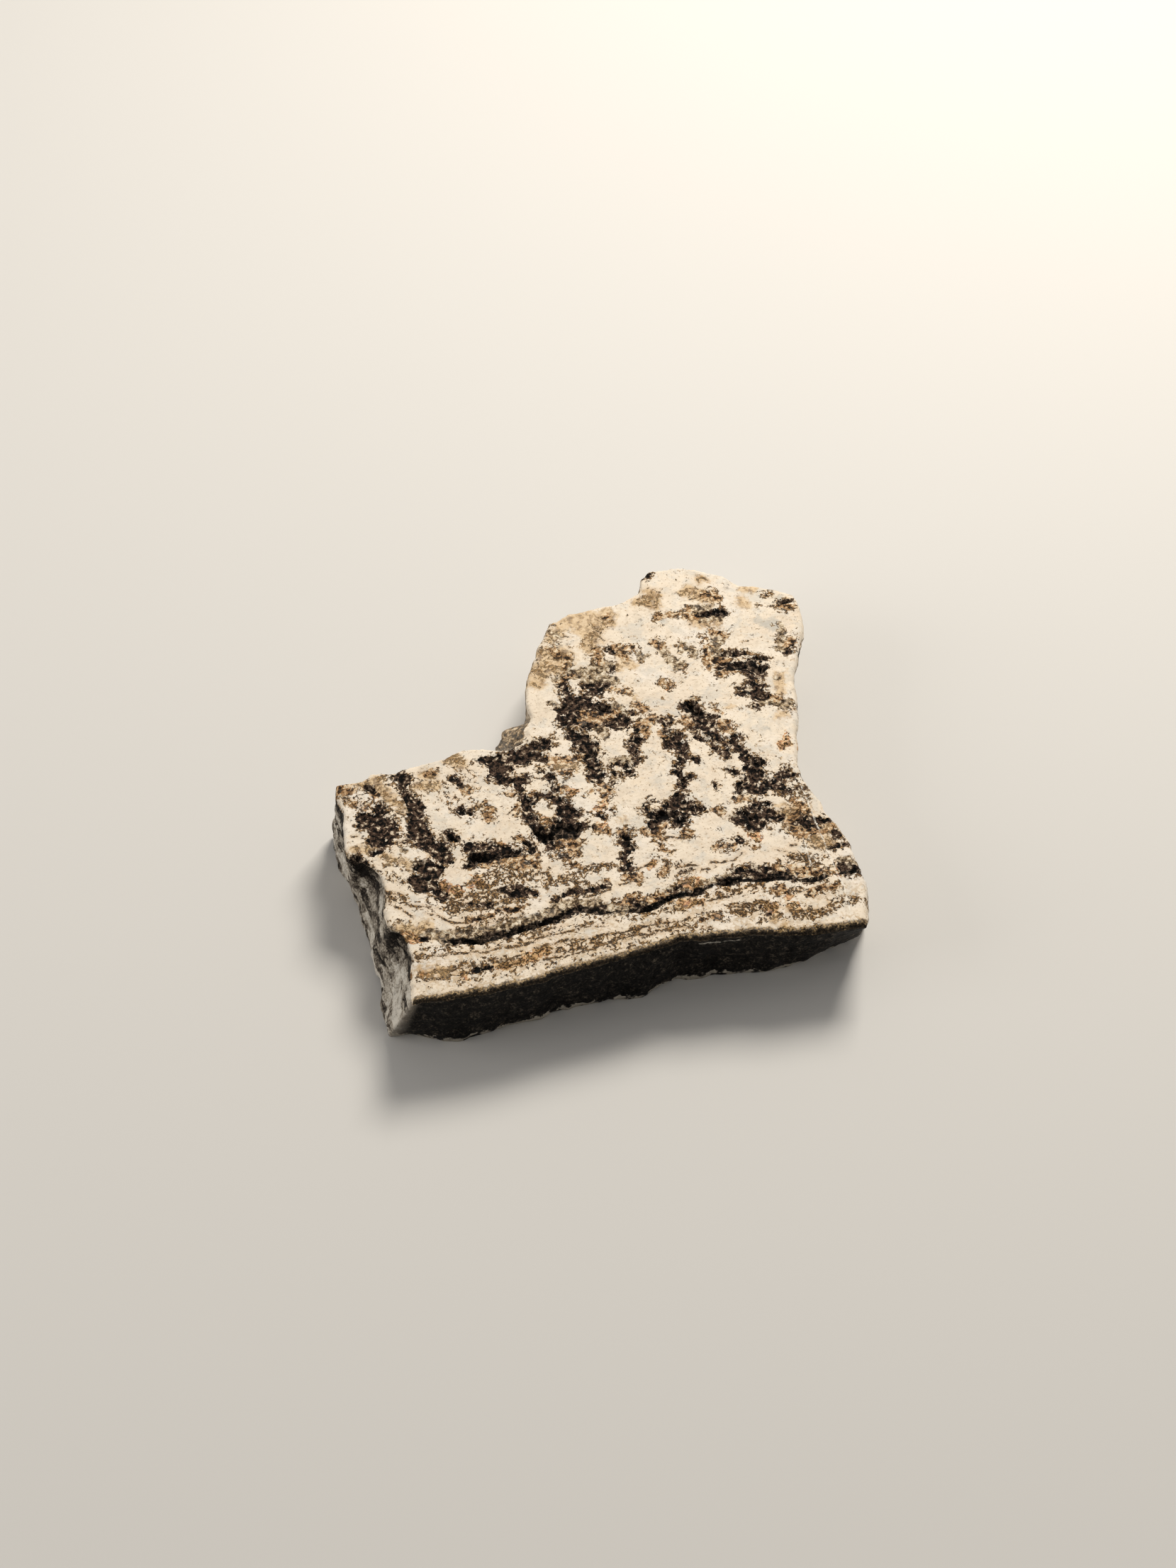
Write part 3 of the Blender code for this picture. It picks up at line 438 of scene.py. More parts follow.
# Thin dark lines
LINE_STROKES = (
    (0.06, -11.9, -4.9, -11.6, -5.25, -11.2, -5.45, -10.95, -5.8), (0.05, -11.7, -5.5, -11.4, -5.75),
    (0.06, -11.85, -5.8, -11.5, -6.1, -11.25, -6.3, -11.0, -6.6, -10.8, -6.85),
    (0.04, -10.9, -6.1, -10.4, -6.4, -9.9, -6.6, -9.3, -6.8),
    (0.05, -10.1, -7.0, -9.8, -7.15, -9.5, -7.35, -9.2, -7.6, -8.8, -7.8, -8.3, -7.85),
    (0.07, -8.4, -7.75, -7.9, -7.75, -7.5, -7.65, -7.0, -7.8, -6.4, -7.65, -5.9, -7.7, -5.5, -7.65),
    (0.04, -9.6, -8.3, -8.6, -8.15, -7.6, -8.1, -6.4, -8.15, -5.6, -8.2),
    (0.05, -9.0, -6.2, -8.0, -6.4, -7.0, -6.3, -6.2, -6.45, -5.6, -6.4),
    (0.06, -8.6, -6.8, -7.9, -6.85, -7.2, -6.95, -6.4, -6.7),
    (0.05, -8.9, -7.1, -8.2, -7.25, -7.4, -7.3, -6.6, -7.2, -5.9, -7.3),
    (0.05, -11.6, -7.6, -11.1, -7.9, -10.7, -8.2, -10.3, -8.5),
    (0.05, -10.9, -9.3, -10.2, -9.6, -9.4, -9.6, -8.6, -9.8, -7.8, -9.9, -6.9, -9.8, -6.2, -9.9, -5.5,
     -9.9),
    (0.05, -11.0, -10.7, -10.0, -10.8, -9.0, -10.75, -7.8, -10.85, -6.8, -10.9, -5.6, -10.8),
    (0.04, -10.5, -10.3, -9.2, -10.5, -8.2, -10.6, -7.2, -10.5, -6.2, -10.5),
    (0.05, -6.0, -4.35, -5.6, -4.55, -5.1, -4.6),
    (0.05, -4.2, -7.8, -3.6, -7.65, -3.1, -7.45, -2.6, -7.3),
    (0.05, -2.4, -7.85, -1.8, -7.7, -1.1, -7.75), (0.04, -0.6, -7.5, 0.6, -7.5),
    (0.05, 1.5, -7.4, 2.1, -7.1), (0.05, 0.2, -6.85, 0.9, -6.7, 1.4, -6.75),
    (0.05, -5.5, -10.2, -4.6, -10.3, -3.8, -10.1, -3.0, -10.3, -2.0, -10.25, -1.0, -10.4, 0.2, -10.3,
     1.4, -10.4, 2.2, -10.3),
    (0.05, -5.5, -10.8, -4.4, -10.7, -3.4, -10.85, -2.2, -10.8, -1.2, -10.75, -0.2, -10.75, 0.8, -10.8,
     1.8, -10.7),
    (0.04, -5.3, -11.0, -4.2, -11.05, -3.0, -11.0, -1.6, -11.0),
    (0.04, -5.4, -9.3, -4.6, -9.4, -3.8, -9.2), (0.04, -5.4, -9.8, -4.2, -9.7, -3.0, -9.6, -1.8, -9.8),
    (0.05, 2.5, -7.2, 3.0, -7.25, 3.5, -7.35), (0.05, 2.5, -7.65, 3.2, -7.65, 4.0, -7.7),
    (0.05, 4.1, -7.35, 4.6, -7.5), (0.05, 4.8, -7.5, 5.3, -7.45, 5.8, -7.15),
    (0.05, 7.45, -7.3, 7.8, -7.55, 8.2, -7.8, 8.5, -7.95), (0.05, 8.2, -7.3, 8.5, -7.35),
    (0.06, 2.5, -5.3, 3.2, -5.45, 3.6, -5.45), (0.05, 3.1, -5.3, 3.6, -5.2),
    (0.05, 8.3, -5.3, 9.0, -5.1, 9.6, -5.3, 9.9, -5.6), (0.05, 8.4, -5.6, 9.1, -5.5, 9.7, -5.9),
    (0.05, 9.1, -5.9, 9.8, -5.9), (0.05, 9.1, -6.2, 9.9, -6.3), (0.05, 9.2, -6.5, 10.7, -6.5),
    (0.05, 8.7, -6.0, 8.9, -6.6, 9.6, -6.9),
    (0.05, 9.1, -7.1, 9.6, -7.3, 10.0, -7.7, 10.4, -8.0, 11.0, -7.95), (0.05, 9.2, -7.5, 9.7, -7.9),
    (0.05, 9.9, -6.1, 10.5, -6.3, 10.9, -6.7), (0.05, 10.0, -6.9, 10.6, -6.9, 11.0, -7.2),
    (0.04, 8.7, -6.9, 9.3, -7.0, 9.9, -7.3), (0.05, 2.6, -9.6, 3.4, -9.6, 4.0, -9.5),
    (0.05, 6.5, -9.8, 7.2, -9.9, 7.8, -10.2), (0.05, 8.2, -10.25, 9.0, -10.3, 9.8, -10.3),
    (0.05, 7.0, -11.2, 7.8, -11.3, 8.6, -11.4), (0.05, 4.2, -10.3, 5.0, -10.4, 5.8, -10.6, 6.5, -10.9),
    (0.08, -12.8, 1.9, -12.6, 1.2, -12.3, 0.8, -11.8, 0.55), (0.01, -12.8, -1.35, -12.4, -1.35),
    (0.05, -10.7, -2.25, -10.2, -2.3),
    (0.05, 5.3, 10.8, 5.7, 10.5, 5.9, 10.3, 6.2, 10.25, 6.45, 10.7, 6.6, 11.1, 6.5, 11.5, 6.2, 11.7,
     6.0, 11.6),
    (0.04, 5.9, 11.1, 6.2, 10.9, 6.25, 11.4), (0.04, 7.8, 11.1, 8.2, 11.15, 8.5, 11.0),
    (0.05, 8.1, 10.3, 8.8, 10.45, 9.2, 10.25), (0.06, 9.0, 10.8, 9.3, 10.5, 9.5, 10.1, 9.55, 9.8),
    (0.04, 9.0, 11.4, 9.0, 11.75, 9.3, 11.8, 9.45, 11.5), (0.05, 7.6, 8.5, 7.9, 8.8, 8.3, 8.9),
    (0.05, 8.4, 8.6, 8.6, 8.2, 8.8, 8.0), (0.05, 7.6, 9.0, 7.8, 9.3, 7.85, 9.7),
    (0.05, 2.0, 9.2, 2.4, 9.0, 2.7, 8.9, 2.85, 8.5), (0.05, -1.5, 6.5, -1.3, 6.15, -1.1, 6.3),
    (0.05, -1.0, 7.0, -0.7, 6.6), (0.05, 0.1, 7.3, 0.4, 7.1, 0.6, 7.3),
    (0.05, 0.6, 9.3, 0.9, 9.5, 1.05, 9.3), (0.05, 0.1, 10.2, 0.3, 10.4, 0.6, 10.3),
    (0.05, 1.1, 7.0, 1.4, 6.5, 1.9, 6.5, 2.2, 6.8), (0.05, 1.6, 6.1, 1.8, 6.5),
)
# Where the small curly brown marks lie thick: their share, then a stroke as above
SPECKLE_STROKES = (
    (0.5, 0.30, -12.9, 1.8, -12.5, 0.9, -11.9, 0.5), (0.6, 0.35, -11.4, 1.9, -10.8, 0.9),
    (0.5, 0.35, -10.5, 2.0, -10.4, 1.3), (0.5, 0.40, -11.6, 0.6, -10.9, 0.4),
    (0.6, 0.45, -10.4, 0.5, -10.0, -0.9), (0.4, 0.25, -12.0, 2.0, -11.5, 1.9),
    (0.4, 0.30, -8.6, 1.7, -7.8, 1.6), (0.35, 0.50, -8.0, 0.9, -7.4, -0.4),
    (0.3, 0.45, -6.5, 1.8, -6.2, 0.5), (0.4, 0.30, -8.9, 1.0, -8.1, 0.5),
    (0.5, 0.30, -6.9, 0.7, -6.3, -0.9), (0.6, 0.30, -6.9, 2.5, -6.4, 2.2),
    (0.5, 0.30, -6.0, -0.6, -5.6, -1.8), (0.6, 0.30, -12.7, -2.25, -12.1, -2.25),
    (0.5, 0.30, -11.6, -2.8, -10.3, -3.9), (0.4, 0.30, -11.4, -4.2, -10.6, -4.9),
    (0.5, 0.25, -11.9, -5.2, -11.0, -5.9), (0.3, 0.30, -10.6, -6.1, -9.5, -6.9),
    (0.5, 0.30, -11.9, -7.0, -10.5, -7.9), (0.75, 0.60, -8.6, -6.7, -5.7, -6.9),
    (0.8, 0.50, -7.1, -5.6, -5.6, -5.5), (0.6, 0.25, -9.2, -8.35, -5.5, -8.3),
    (0.5, 0.30, -11.0, -9.3, -5.5, -9.5), (0.6, 0.35, -11.2, -10.5, -5.5, -10.7),
    (0.3, 0.25, -9.5, -11.3, -5.5, -11.3), (0.5, 0.35, -2.6, 0.6, -0.9, 0.5),
    (0.6, 0.30, -1.6, 2.2, -1.4, 2.5), (0.6, 0.40, -2.6, -6.0, -2.5, -6.8),
    (0.6, 0.30, -5.7, -5.8, -4.0, -6.0), (0.7, 0.25, -1.9, -6.3, -0.6, -6.4),
    (0.6, 0.30, -4.0, -6.5, -2.8, -7.0), (0.5, 0.28, -5.5, -9.5, -2.2, -9.45),
    (0.5, 0.25, -0.9, -9.6, 2.0, -9.6), (0.6, 0.35, -5.5, -10.55, 1.8, -10.6),
    (0.4, 0.30, 2.4, -10.6, 4.0, -10.6), (0.3, 0.20, -5.5, -11.3, 3.0, -11.2),
    (0.7, 0.30, 4.1, -9.3, 6.0, -9.4), (0.9, 0.38, 4.4, -10.4, 6.2, -10.7),
    (0.6, 0.20, 6.4, -9.9, 8.0, -10.1), (0.6, 0.20, 8.2, -10.2, 9.9, -10.3),
    (0.8, 0.32, 7.1, -11.3, 8.7, -11.6), (0.7, 0.28, 9.0, -11.3, 10.7, -11.4),
    (0.5, 0.25, 5.4, -11.2, 6.4, -11.4), (0.4, 0.20, 5.5, -12.2, 8.0, -12.4),
    (0.5, 0.35, 8.0, -8.3, 9.8, -8.4), (0.4, 0.50, 8.8, -5.2, 10.2, -6.4),
    (0.5, 0.40, 9.2, -7.3, 10.8, -7.4), (0.4, 0.25, 1.6, -6.3, 2.2, -7.3),
    (0.5, 0.30, 1.9, -5.0, 2.4, -6.0), (0.5, 0.22, 4.6, -6.7, 5.9, -6.4),
    (0.5, 0.60, -0.8, 7.3, 0.3, 7.0), (0.5, 0.40, 0.6, 6.6, 2.6, 6.8), (0.4, 0.40, -0.2, 8.4, 0.3, 9.6),
    (0.4, 0.40, 2.0, 8.4, 2.8, 9.6), (0.5, 0.30, 3.3, 10.2), (0.5, 0.35, 5.6, 10.8, 6.2, 10.8),
    (0.5, 0.40, 8.1, 10.9, 9.3, 10.3), (0.5, 0.35, 7.9, 9.4, 9.6, 9.0), (0.5, 0.40, 8.0, 7.4, 8.4, 5.6),
    (0.5, 0.30, 12.0, 6.0, 12.6, 5.6), (0.4, 0.30, 10.0, 2.0, 11.2, 1.4),
    (0.5, 0.40, 9.0, -3.6, 9.8, -4.6),
)
# The black wavy sheet near the front: x and its half width. Then its grey-brown cover: x, how far
# the cover's middle lies above the sheet, and half width. Then the sheet's own route: x and y.
SHEET_CORE = (
    (-10.6, -0.5), (-9.6, 0.02), (-9.2, 0.12), (-8.2, 0.20), (-5.5, 0.15), (-4.3, 0.15), (-3.5, 0.12),
    (-2.0, 0.22), (-1.5, 0.05), (-0.9, 0.02), (-0.3, 0.14), (0.5, 0.17), (2.0, 0.14), (3.2, 0.12),
    (3.9, 0.02), (4.7, 0.24), (5.2, 0.10), (6.2, 0.16), (7.5, 0.14), (8.0, 0.05), (8.8, 0.14),
    (9.3, 0.02), (9.8, 0.02), (10.5, 0.14), (11.3, 0.12),
)
SHEET_COVER = (
    (-11.2, 0.30, -0.3), (-10.4, 0.30, 0.18), (-9.5, 0.34, 0.26), (-7.0, 0.40, 0.26),
    (-5.0, 0.38, 0.24), (-4.0, 0.42, 0.30), (-2.0, 0.34, 0.28), (-1.0, 0.10, 0.22), (0.2, 0.30, 0.18),
    (1.5, 0.36, 0.22), (3.0, 0.42, 0.26), (3.6, 0.30, 0.10), (4.4, 0.20, 0.14), (5.3, 0.34, 0.26),
    (6.6, 0.40, 0.26), (7.4, 0.40, 0.20), (8.3, 0.45, 0.20), (9.2, 0.25, 0.24), (10.0, 0.35, 0.22),
    (11.3, 0.35, 0.22),
)
SHEET_ROUTE = (
    (-12.5, -7.6), (-11.0, -8.2), (-9.5, -8.8), (-8.0, -9.1), (-6.3, -9.0), (-4.4, -8.8), (-3.0, -8.5),
    (-1.2, -9.1), (0.4, -9.3), (1.6, -8.95), (3.0, -8.95), (4.6, -8.6), (7.2, -9.1), (8.6, -9.6),
    (11.0, -9.6), (12.5, -9.6),
)

# A distance longer than any on the slab, and the reach that places far outside a band get
FAR = 99.0
OUTSIDE = -1.5
# How softly neighbouring strokes run together
BLEND = 0.06
# Keeps a stretch of no length from dividing by zero
SMALLEST_SQUARE = 1e-9
# How far the bands' sides stray from their strokes, and how long each stray is
STRAY = 0.17
STRAY_SIZE = 0.60
SMALL_STRAY = 0.07
SMALL_STRAY_SIZE = 0.25


def distance_to_stretch(x, y, x0, y0, x1, y1):
    """Distance from each place to the straight stretch between two ends."""
    run_x = x1 - x0
    run_y = y1 - y0
    share = ((x - x0) * run_x + (y - y0) * run_y) / (run_x**2 + run_y**2 + SMALLEST_SQUARE)
    share = np.clip(share, 0.0, 1.0)
    return np.hypot(x - x0 - share * run_x, y - y0 - share * run_y)


def distance_to_chain(x, y, chain):
    """Distance from each place to the nearest stretch of a chain of points."""
    nearest = np.full(x.shape, FAR)
    for (x0, y0), (x1, y1) in zip(chain, chain[1:]):
        nearest = np.minimum(nearest, distance_to_stretch(x, y, x0, y0, x1, y1))
    return nearest


def reach_into(stroke, x, y):
    """How far inside one stroke each place lies: half its width less the nearest distance to it."""
    stops = list(zip(stroke[1::2], stroke[2::2]))
    stops = stops if len(stops) > 1 else stops * 2
    return stroke[0] - distance_to_chain(x, y, stops)


def reach_of_all(strokes, x, y, blend=BLEND):
    """The reach into the nearest stroke, where neighbours run together softly: blend times the log
    of the sum of e^(reach / blend)."""
    total = np.full(x.shape, -6.0 / blend)
    for stroke in strokes:
        total = np.logaddexp(total, reach_into(stroke, x, y) / blend)
    return np.clip(blend * total, OUTSIDE, 1.0)


def ease(value, low, high):
    """0 below low, 1 above high, and 3t^2 - 2t^3 between them."""
    t = np.clip((value - low) / (high - low), 0.0, 1.0)
    return t * t * (3.0 - 2.0 * t)


def read_bands(x, y, z):
    """Every band's reach at each place, after the place is nudged by small random steps, so that
    the strokes' sides come out ragged."""
    nudged_x = x + STRAY * crumble(x, y, z, STRAY_SIZE, 21)
    nudged_x = nudged_x + SMALL_STRAY * crumble(x, y, z, SMALL_STRAY_SIZE, 22)
    nudged_y = y + STRAY * crumble(x, y, z, STRAY_SIZE, 23)
    nudged_y = nudged_y + SMALL_STRAY * crumble(x, y, z, SMALL_STRAY_SIZE, 24)
    bands = {
        "dark": reach_of_all(DARK_STROKES, nudged_x, nudged_y),
        "pit": reach_of_all(PIT_STROKES, nudged_x, nudged_y),
        "brown": reach_of_all(BROWN_STROKES, nudged_x, nudged_y),
        "olive": reach_of_all(OLIVE_STROKES, nudged_x, nudged_y),
        "rust": reach_of_all(RUST_STROKES, nudged_x, nudged_y),
        "tan": reach_of_all(TAN_STROKES, nudged_x, nudged_y, 2 * BLEND),
        "haze": reach_of_all(HAZE_STROKES, nudged_x, nudged_y, 2 * BLEND),
        "crack": reach_of_all(CRACK_STROKES, x, y, 0.02),
        "line": reach_of_all(LINE_STROKES, (x + nudged_x) / 2, (y + nudged_y) / 2, 0.01),
    }
    bands["dark"] = np.maximum(bands["dark"], bands["pit"] + 0.03)
    bands["pit"] = bands["pit"] - 0.07
    bands["dark"] = np.minimum(bands["dark"], 0.14 - bands["brown"])
    cream = reach_of_all(CREAM_STROKES, nudged_x, nudged_y)
    bands["dark"] = np.minimum(bands["dark"], -cream)
    bands["pit"] = np.minimum(bands["pit"], -cream)
    sheet = y - np.interp(x, *np.transpose(SHEET_ROUTE))
    sheet = sheet + 0.07 * crumble(x, y, z, 0.90, 25)
    core = np.interp(x, *np.transpose(SHEET_CORE)) - np.abs(sheet)
    cover_x, cover_middle, cover_half = np.transpose(SHEET_COVER)
    over_sheet = np.interp(x, cover_x, cover_half)
    over_sheet = over_sheet - np.abs(sheet - np.interp(x, cover_x, cover_middle))
    bands["core"] = np.clip(core, OUTSIDE, 1.0)
    bands["olive"] = np.maximum(bands["olive"], np.clip(over_sheet, OUTSIDE, 1.0))
    bands["olive"] = np.minimum(bands["olive"], 0.08 - bands["rust"])
    speckle = np.zeros(x.shape)
    for share, *stroke in SPECKLE_STROKES:
        inside = ease(reach_into(stroke, nudged_x, nudged_y), -0.20, 0.15)
        speckle = np.maximum(speckle, share * inside)
    bands["speckle"] = speckle
    return bands


# The sawn face.
# The saw left it flat, and wear has since taken the soft dark bands down a little, opened pits in
# them and rounded the rim. The pale silica stands level.

RIM_ROUNDING = 0.10
RIM_ROUNDING_RIGHT = 0.24
# How deep the dark bands, pits, brown and olive bands, whole skin and pores are worn
DARK_WEAR = 0.105
PIT_WEAR = 0.200
SOFT_WEAR = 0.030
SKIN_WEAR = 0.012
PORE_WEAR = 0.05


def face_height(x, y, bands, rim_distance):
    """The slab's thickness, less the wear of its dark bands, less a quarter round at the rim."""
    level = np.zeros(x.shape)
    dark = ease(bands["dark"], -0.06, 0.14)
    pit = ease(np.maximum(bands["pit"], bands["core"]), -0.04, 0.14)
    soft = ease(np.maximum(bands["brown"], bands["olive"]), -0.04, 0.12)
    coarse = crumble(x, y, level, 0.62, 31)
    grain = crumble(x, y, level, 0.24, 32)
    fine = crumble(x, y, level, 0.13, 33)
    worn = dark * (DARK_WEAR + 0.060 * coarse + 0.050 * grain + 0.030 * fine)
    worn = worn + pit * (PIT_WEAR + 0.080 * coarse + 0.050 * grain)
    worn = worn + soft * (1.0 - dark) * (SOFT_WEAR + 0.020 * grain + 0.014 * fine)
    worn = worn + SKIN_WEAR * (1.0 + coarse) + 0.006 * grain + 0.004 * fine
    pores = ease(crumble(x, y, level, 0.30, 34), 0.62, 0.80)
    worn = worn + PORE_WEAR * pores * (0.3 + bands["speckle"])
    right = ease(x - 0.12 * y, 8.5, 9.6)
    rounding = RIM_ROUNDING + (RIM_ROUNDING_RIGHT - RIM_ROUNDING) * right
    rounding = rounding * (1.0 + 0.5 * crumble(x, y, level, 1.1, 35))
    lean = np.clip(1.0 - rim_distance / rounding, 0.0, 1.0)
    worn = worn + rounding * (1.0 - np.sqrt(1.0 - 0.96 * lean**2))
    return THICKNESS - np.maximum(worn, 0.0)


face_x, face_y = face_rows[:, 0], face_rows[:, 1]
face_bands = read_bands(face_x, face_y, np.zeros(face_x.shape))
rim_chain = rim_rows[::3, :2]
face_rim_distance = distance_to_chain(face_x, face_y, np.vstack([rim_chain, rim_chain[:1]]))
face_z = face_height(face_x, face_y, face_bands, face_rim_distance)


# The broken sides.
# They follow the bands down through the slab. Flakes have come off their feet, scoops are worn into
# them, a ledge is left in the inner corner, and the left side has ridges that run along it.

WALL_DEPTHS = np.array([
    0.03, 0.07, 0.12, 0.18, 0.25, 0.33, 0.42, 0.52, 0.62, 0.72, 0.83, 0.94, 1.05, 1.16, 1.28, 1.40, 1.52,
    1.64, 1.76, 1.88, 2.00, 2.12, 2.24, 2.36, 2.48, 2.60, 2.72, 2.84, 2.96, 3.07, 3.18, 3.28, 3.38, 3.48,
    3.58, 3.67, 3.76, 3.84, 3.90, 3.95, 4.00,
])
# The lip under the face's edge, the bumps on the sides and the flakes off their feet
LIP = 0.075
LIP_DEPTH = 0.14
RIDGE = 0.10
LUMP = 0.09
FACET = 0.14
WALL_GRAIN = 0.030
FINE_WALL_GRAIN = 0.016
FOOT_HEIGHT = 0.42
FOOT_CHIP = 0.16
FOOT_SCALLOP = 0.14
FOOT_SCALLOP_X = 3.0
FOOT_SCALLOP_Y = 3.7
# The ledge in the inner corner: how far it spreads and reaches out, and how deep it lies
LEDGE_MIDDLE = (-2.95, 3.1)
LEDGE_SPREAD = 1.35
LEDGE_TOWARDS = (-0.70, 0.71)
LEDGE_REACH = 1.45
LEDGE_DROP = 1.0
# Scoops: x and y on the rim, half length, depth below the face, half height, bite
WALL_SCOOPS = (
    (-12.3, -3.7, 0.95, 0.9, 0.9, 0.75),
    (-11.6, -8.2, 0.85, 0.8, 0.8, 0.60),
    (-13.1, -0.6, 1.10, 2.4, 0.9, 0.25),
    (-4.6, -11.9, 1.30, 2.8, 0.8, 0.25),
    (3.4, -11.8, 1.50, 2.6, 0.9, 0.30),
    (11.3, 1.2, 2.00, 2.2, 1.1, 0.35),
    (10.9, -8.0, 1.80, 2.6, 1.0, 0.30),
    (13.4, 6.6, 1.30, 2.0, 1.0, 0.30),
    (9.8, 12.0, 1.40, 2.3, 1.0, 0.35),
    (3.4, 11.0, 1.60, 2.6, 1.1, 0.35),
    (-1.3, 7.6, 1.40, 2.2, 1.0, 0.30),
    (-8.2, 2.5, 1.90, 2.4, 1.1, 0.35),
)
# Where the left side is dark (below 0) or bright, the dark places including painted shade in its scoops:
# y, depth, half length, half depth, strength
LEFT_PLACES = (
    (-7.8, 0.60, 0.80, 0.70, -1.6),
    (-3.1, 0.50, 0.75, 0.80, -1.8),
    (-5.6, 0.10, 1.60, 0.25, -1.0),
    (-0.3, 0.50, 1.30, 0.50, -1.2),
    (1.2, 0.80, 0.80, 0.80, -0.7),
    (-9.6, 0.15, 1.20, 0.35, -0.9),
    (-9.3, 2.10, 1.50, 1.00, 1.0),
    (-4.9, 0.90, 0.65, 0.35, 0.9),
    (-4.8, 3.10, 1.90, 0.25, 0.9),
    (-11.0, 2.40, 0.80, 1.20, 0.8),
    (-6.4, 2.20, 1.00, 0.60, -0.6),
    (-1.0, 2.60, 1.20, 0.50, 0.5),
)
# A thin pale chip under the front edge: its half width, then x and depth along it
FRONT_CHIP = (0.03, 2.3, 0.40, 2.7, 0.34, 3.0, 0.44, 3.3, 0.50, 3.7, 0.36, 4.2, 0.26)
# Stretches of the sides coloured a darker brown, at the ledge and up the tower's left: x, y and half
# width
DARKER_BROWN_PLACES = ((-2.6, 3.4, 1.4), (-1.9, 6.0, 1.5), (-0.6, 9.0, 1.2), (5.9, 12.2, 0.9))


def outward_directions(rim):
    """Level direction straight out of the wall, from the eighth place on each side, so that it
    turns slowly."""
    ahead = np.roll(rim, -8, axis=0) - np.roll(rim, 8, axis=0)
    out = np.column_stack([ahead[:, 1], -ahead[:, 0]])
    return out / np.linalg.norm(out, axis=1)[:, None]


def side_shares(rim, outward):
    """How much of each rim place faces the front and how much faces left, from 0 to 1, evened out
    over seven places."""
    front = ease(-outward[:, 1], 0.35, 0.80) * ease(-rim[:, 1], 10.0, 11.0)
    left = ease(-outward[:, 0], 0.30, 0.75) * ease(-rim[:, 0], 9.5, 10.5)
    kernel = np.ones(7) / 7
    front = np.convolve(np.pad(front, 3, mode="wrap"), kernel, mode="valid")
    left = np.convolve(np.pad(left, 3, mode="wrap"), kernel, mode="valid")
    return front, left * (1.0 - front)


def wall_surface(rim_rows, rim_height, depth, outward, left):
    """The wall as depth by rim place: the rim, plus its foot's shift in step with the depth, plus
    the ledge, plus a push outward made of a rounded lip, scoops, foot flakes, ridges and grain."""
    down = depth[:, None]
    x = rim_rows[None, :, 0] + 0 * down
    y = rim_rows[None, :, 1] + 0 * down
    deep = down + 0 * x

    push = LIP * ease(down, 0.0, LIP_DEPTH) + 0 * x
    for scoop_x, scoop_y, half_length, middle, half_height, bite in WALL_SCOOPS:
        along = np.hypot(x - scoop_x, y - scoop_y) / half_length
        push = push - bite * np.exp(-(along**2) - ((deep - middle) / half_height) ** 2)
    at_foot = ease(deep, THICKNESS - FOOT_HEIGHT, THICKNESS)
    scallop = np.sin(2 * np.pi * x / FOOT_SCALLOP_X) * np.cos(2 * np.pi * y / FOOT_SCALLOP_Y)
    push = push - at_foot * (FOOT_CHIP + FOOT_SCALLOP * scallop)

    fade = ease(deep, 0.0, 0.35)
    ridges = crumble(x * 0.8, y * 0.8, deep * 3.2, 1.0, 41)
    ridges = ridges + 0.5 * crumble(x * 1.7, y * 1.7, deep * 5.0, 1.0, 42)
    lumps = crumble(x, y, deep, 1.3, 43)
    facets = np.abs(crumble(x, y, deep, 0.75, 44))
    grain = crumble(x, y, deep, 0.28, 45)
    fine = crumble(x, y, deep, 0.14, 46)
    push = push + fade * left[None] * (RIDGE * ridges - RIDGE / 2)
    push = push + fade * (1.0 - left[None]) * (LUMP * lumps - FACET * facets)
    push = push + (0.3 + 0.7 * fade) * (WALL_GRAIN * grain + FINE_WALL_GRAIN * fine)

    away = np.hypot(x - LEDGE_MIDDLE[0], y - LEDGE_MIDDLE[1])
    ledge = LEDGE_REACH * np.exp(-((away / LEDGE_SPREAD) ** 4)) * np.minimum(deep / LEDGE_DROP, 1.0)
    wall_x = x + rim_rows[None, :, 2] * deep / THICKNESS + outward[None, :, 0] * push
    wall_y = y + rim_rows[None, :, 3] * deep / THICKNESS + outward[None, :, 1] * push
    wall_x = wall_x + ledge * LEDGE_TOWARDS[0]
    wall_y = wall_y + ledge * LEDGE_TOWARDS[1]
    wall_z = rim_height[None] * (1.0 - deep / THICKNESS)
    return wall_x, wall_y, wall_z


rim_height = face_z[rim_index]
rim_out = outward_directions(rim_rows[:, :2])
front_share, left_share = side_shares(rim_rows[:, :2], rim_out)
wall_x, wall_y, wall_z = wall_surface(rim_rows, rim_height, WALL_DEPTHS, rim_out, left_share)

# The bands are read a little inside the rim, and drift aside as they go down
BAND_INSET = 0.30
wall_deep = WALL_DEPTHS[:, None] + 0 * wall_x
inset_x = rim_rows[None, :, 0] - BAND_INSET * rim_out[None, :, 0] + 0.10 * wall_deep
inset_y = rim_rows[None, :, 1] - BAND_INSET * rim_out[None, :, 1] + 0.06 * wall_deep
wall_bands = read_bands(inset_x, inset_y, wall_deep)

# The underside: a narrow ring inside the foot, then one flat face
UNDER_RING = 0.15
under_x = wall_x[-1] - UNDER_RING * rim_out[:, 0]
under_y = wall_y[-1] - UNDER_RING * rim_out[:, 1]


# The slab's mesh.
# Face, sides and underside are one closed skin. Each place carries the bands' reach and where on
# the slab it lies, for the stone's finish to read.

all_x = np.concatenate([face_x, wall_x.ravel(), under_x])
all_y = np.concatenate([face_y, wall_y.ravel(), under_y])
all_z = np.concatenate([face_z, wall_z.ravel(), np.zeros(rim_count)])
places = np.column_stack([all_x - OUTLINE_MIDDLE[0], all_y - OUTLINE_MIDDLE[1], all_z]) * MM

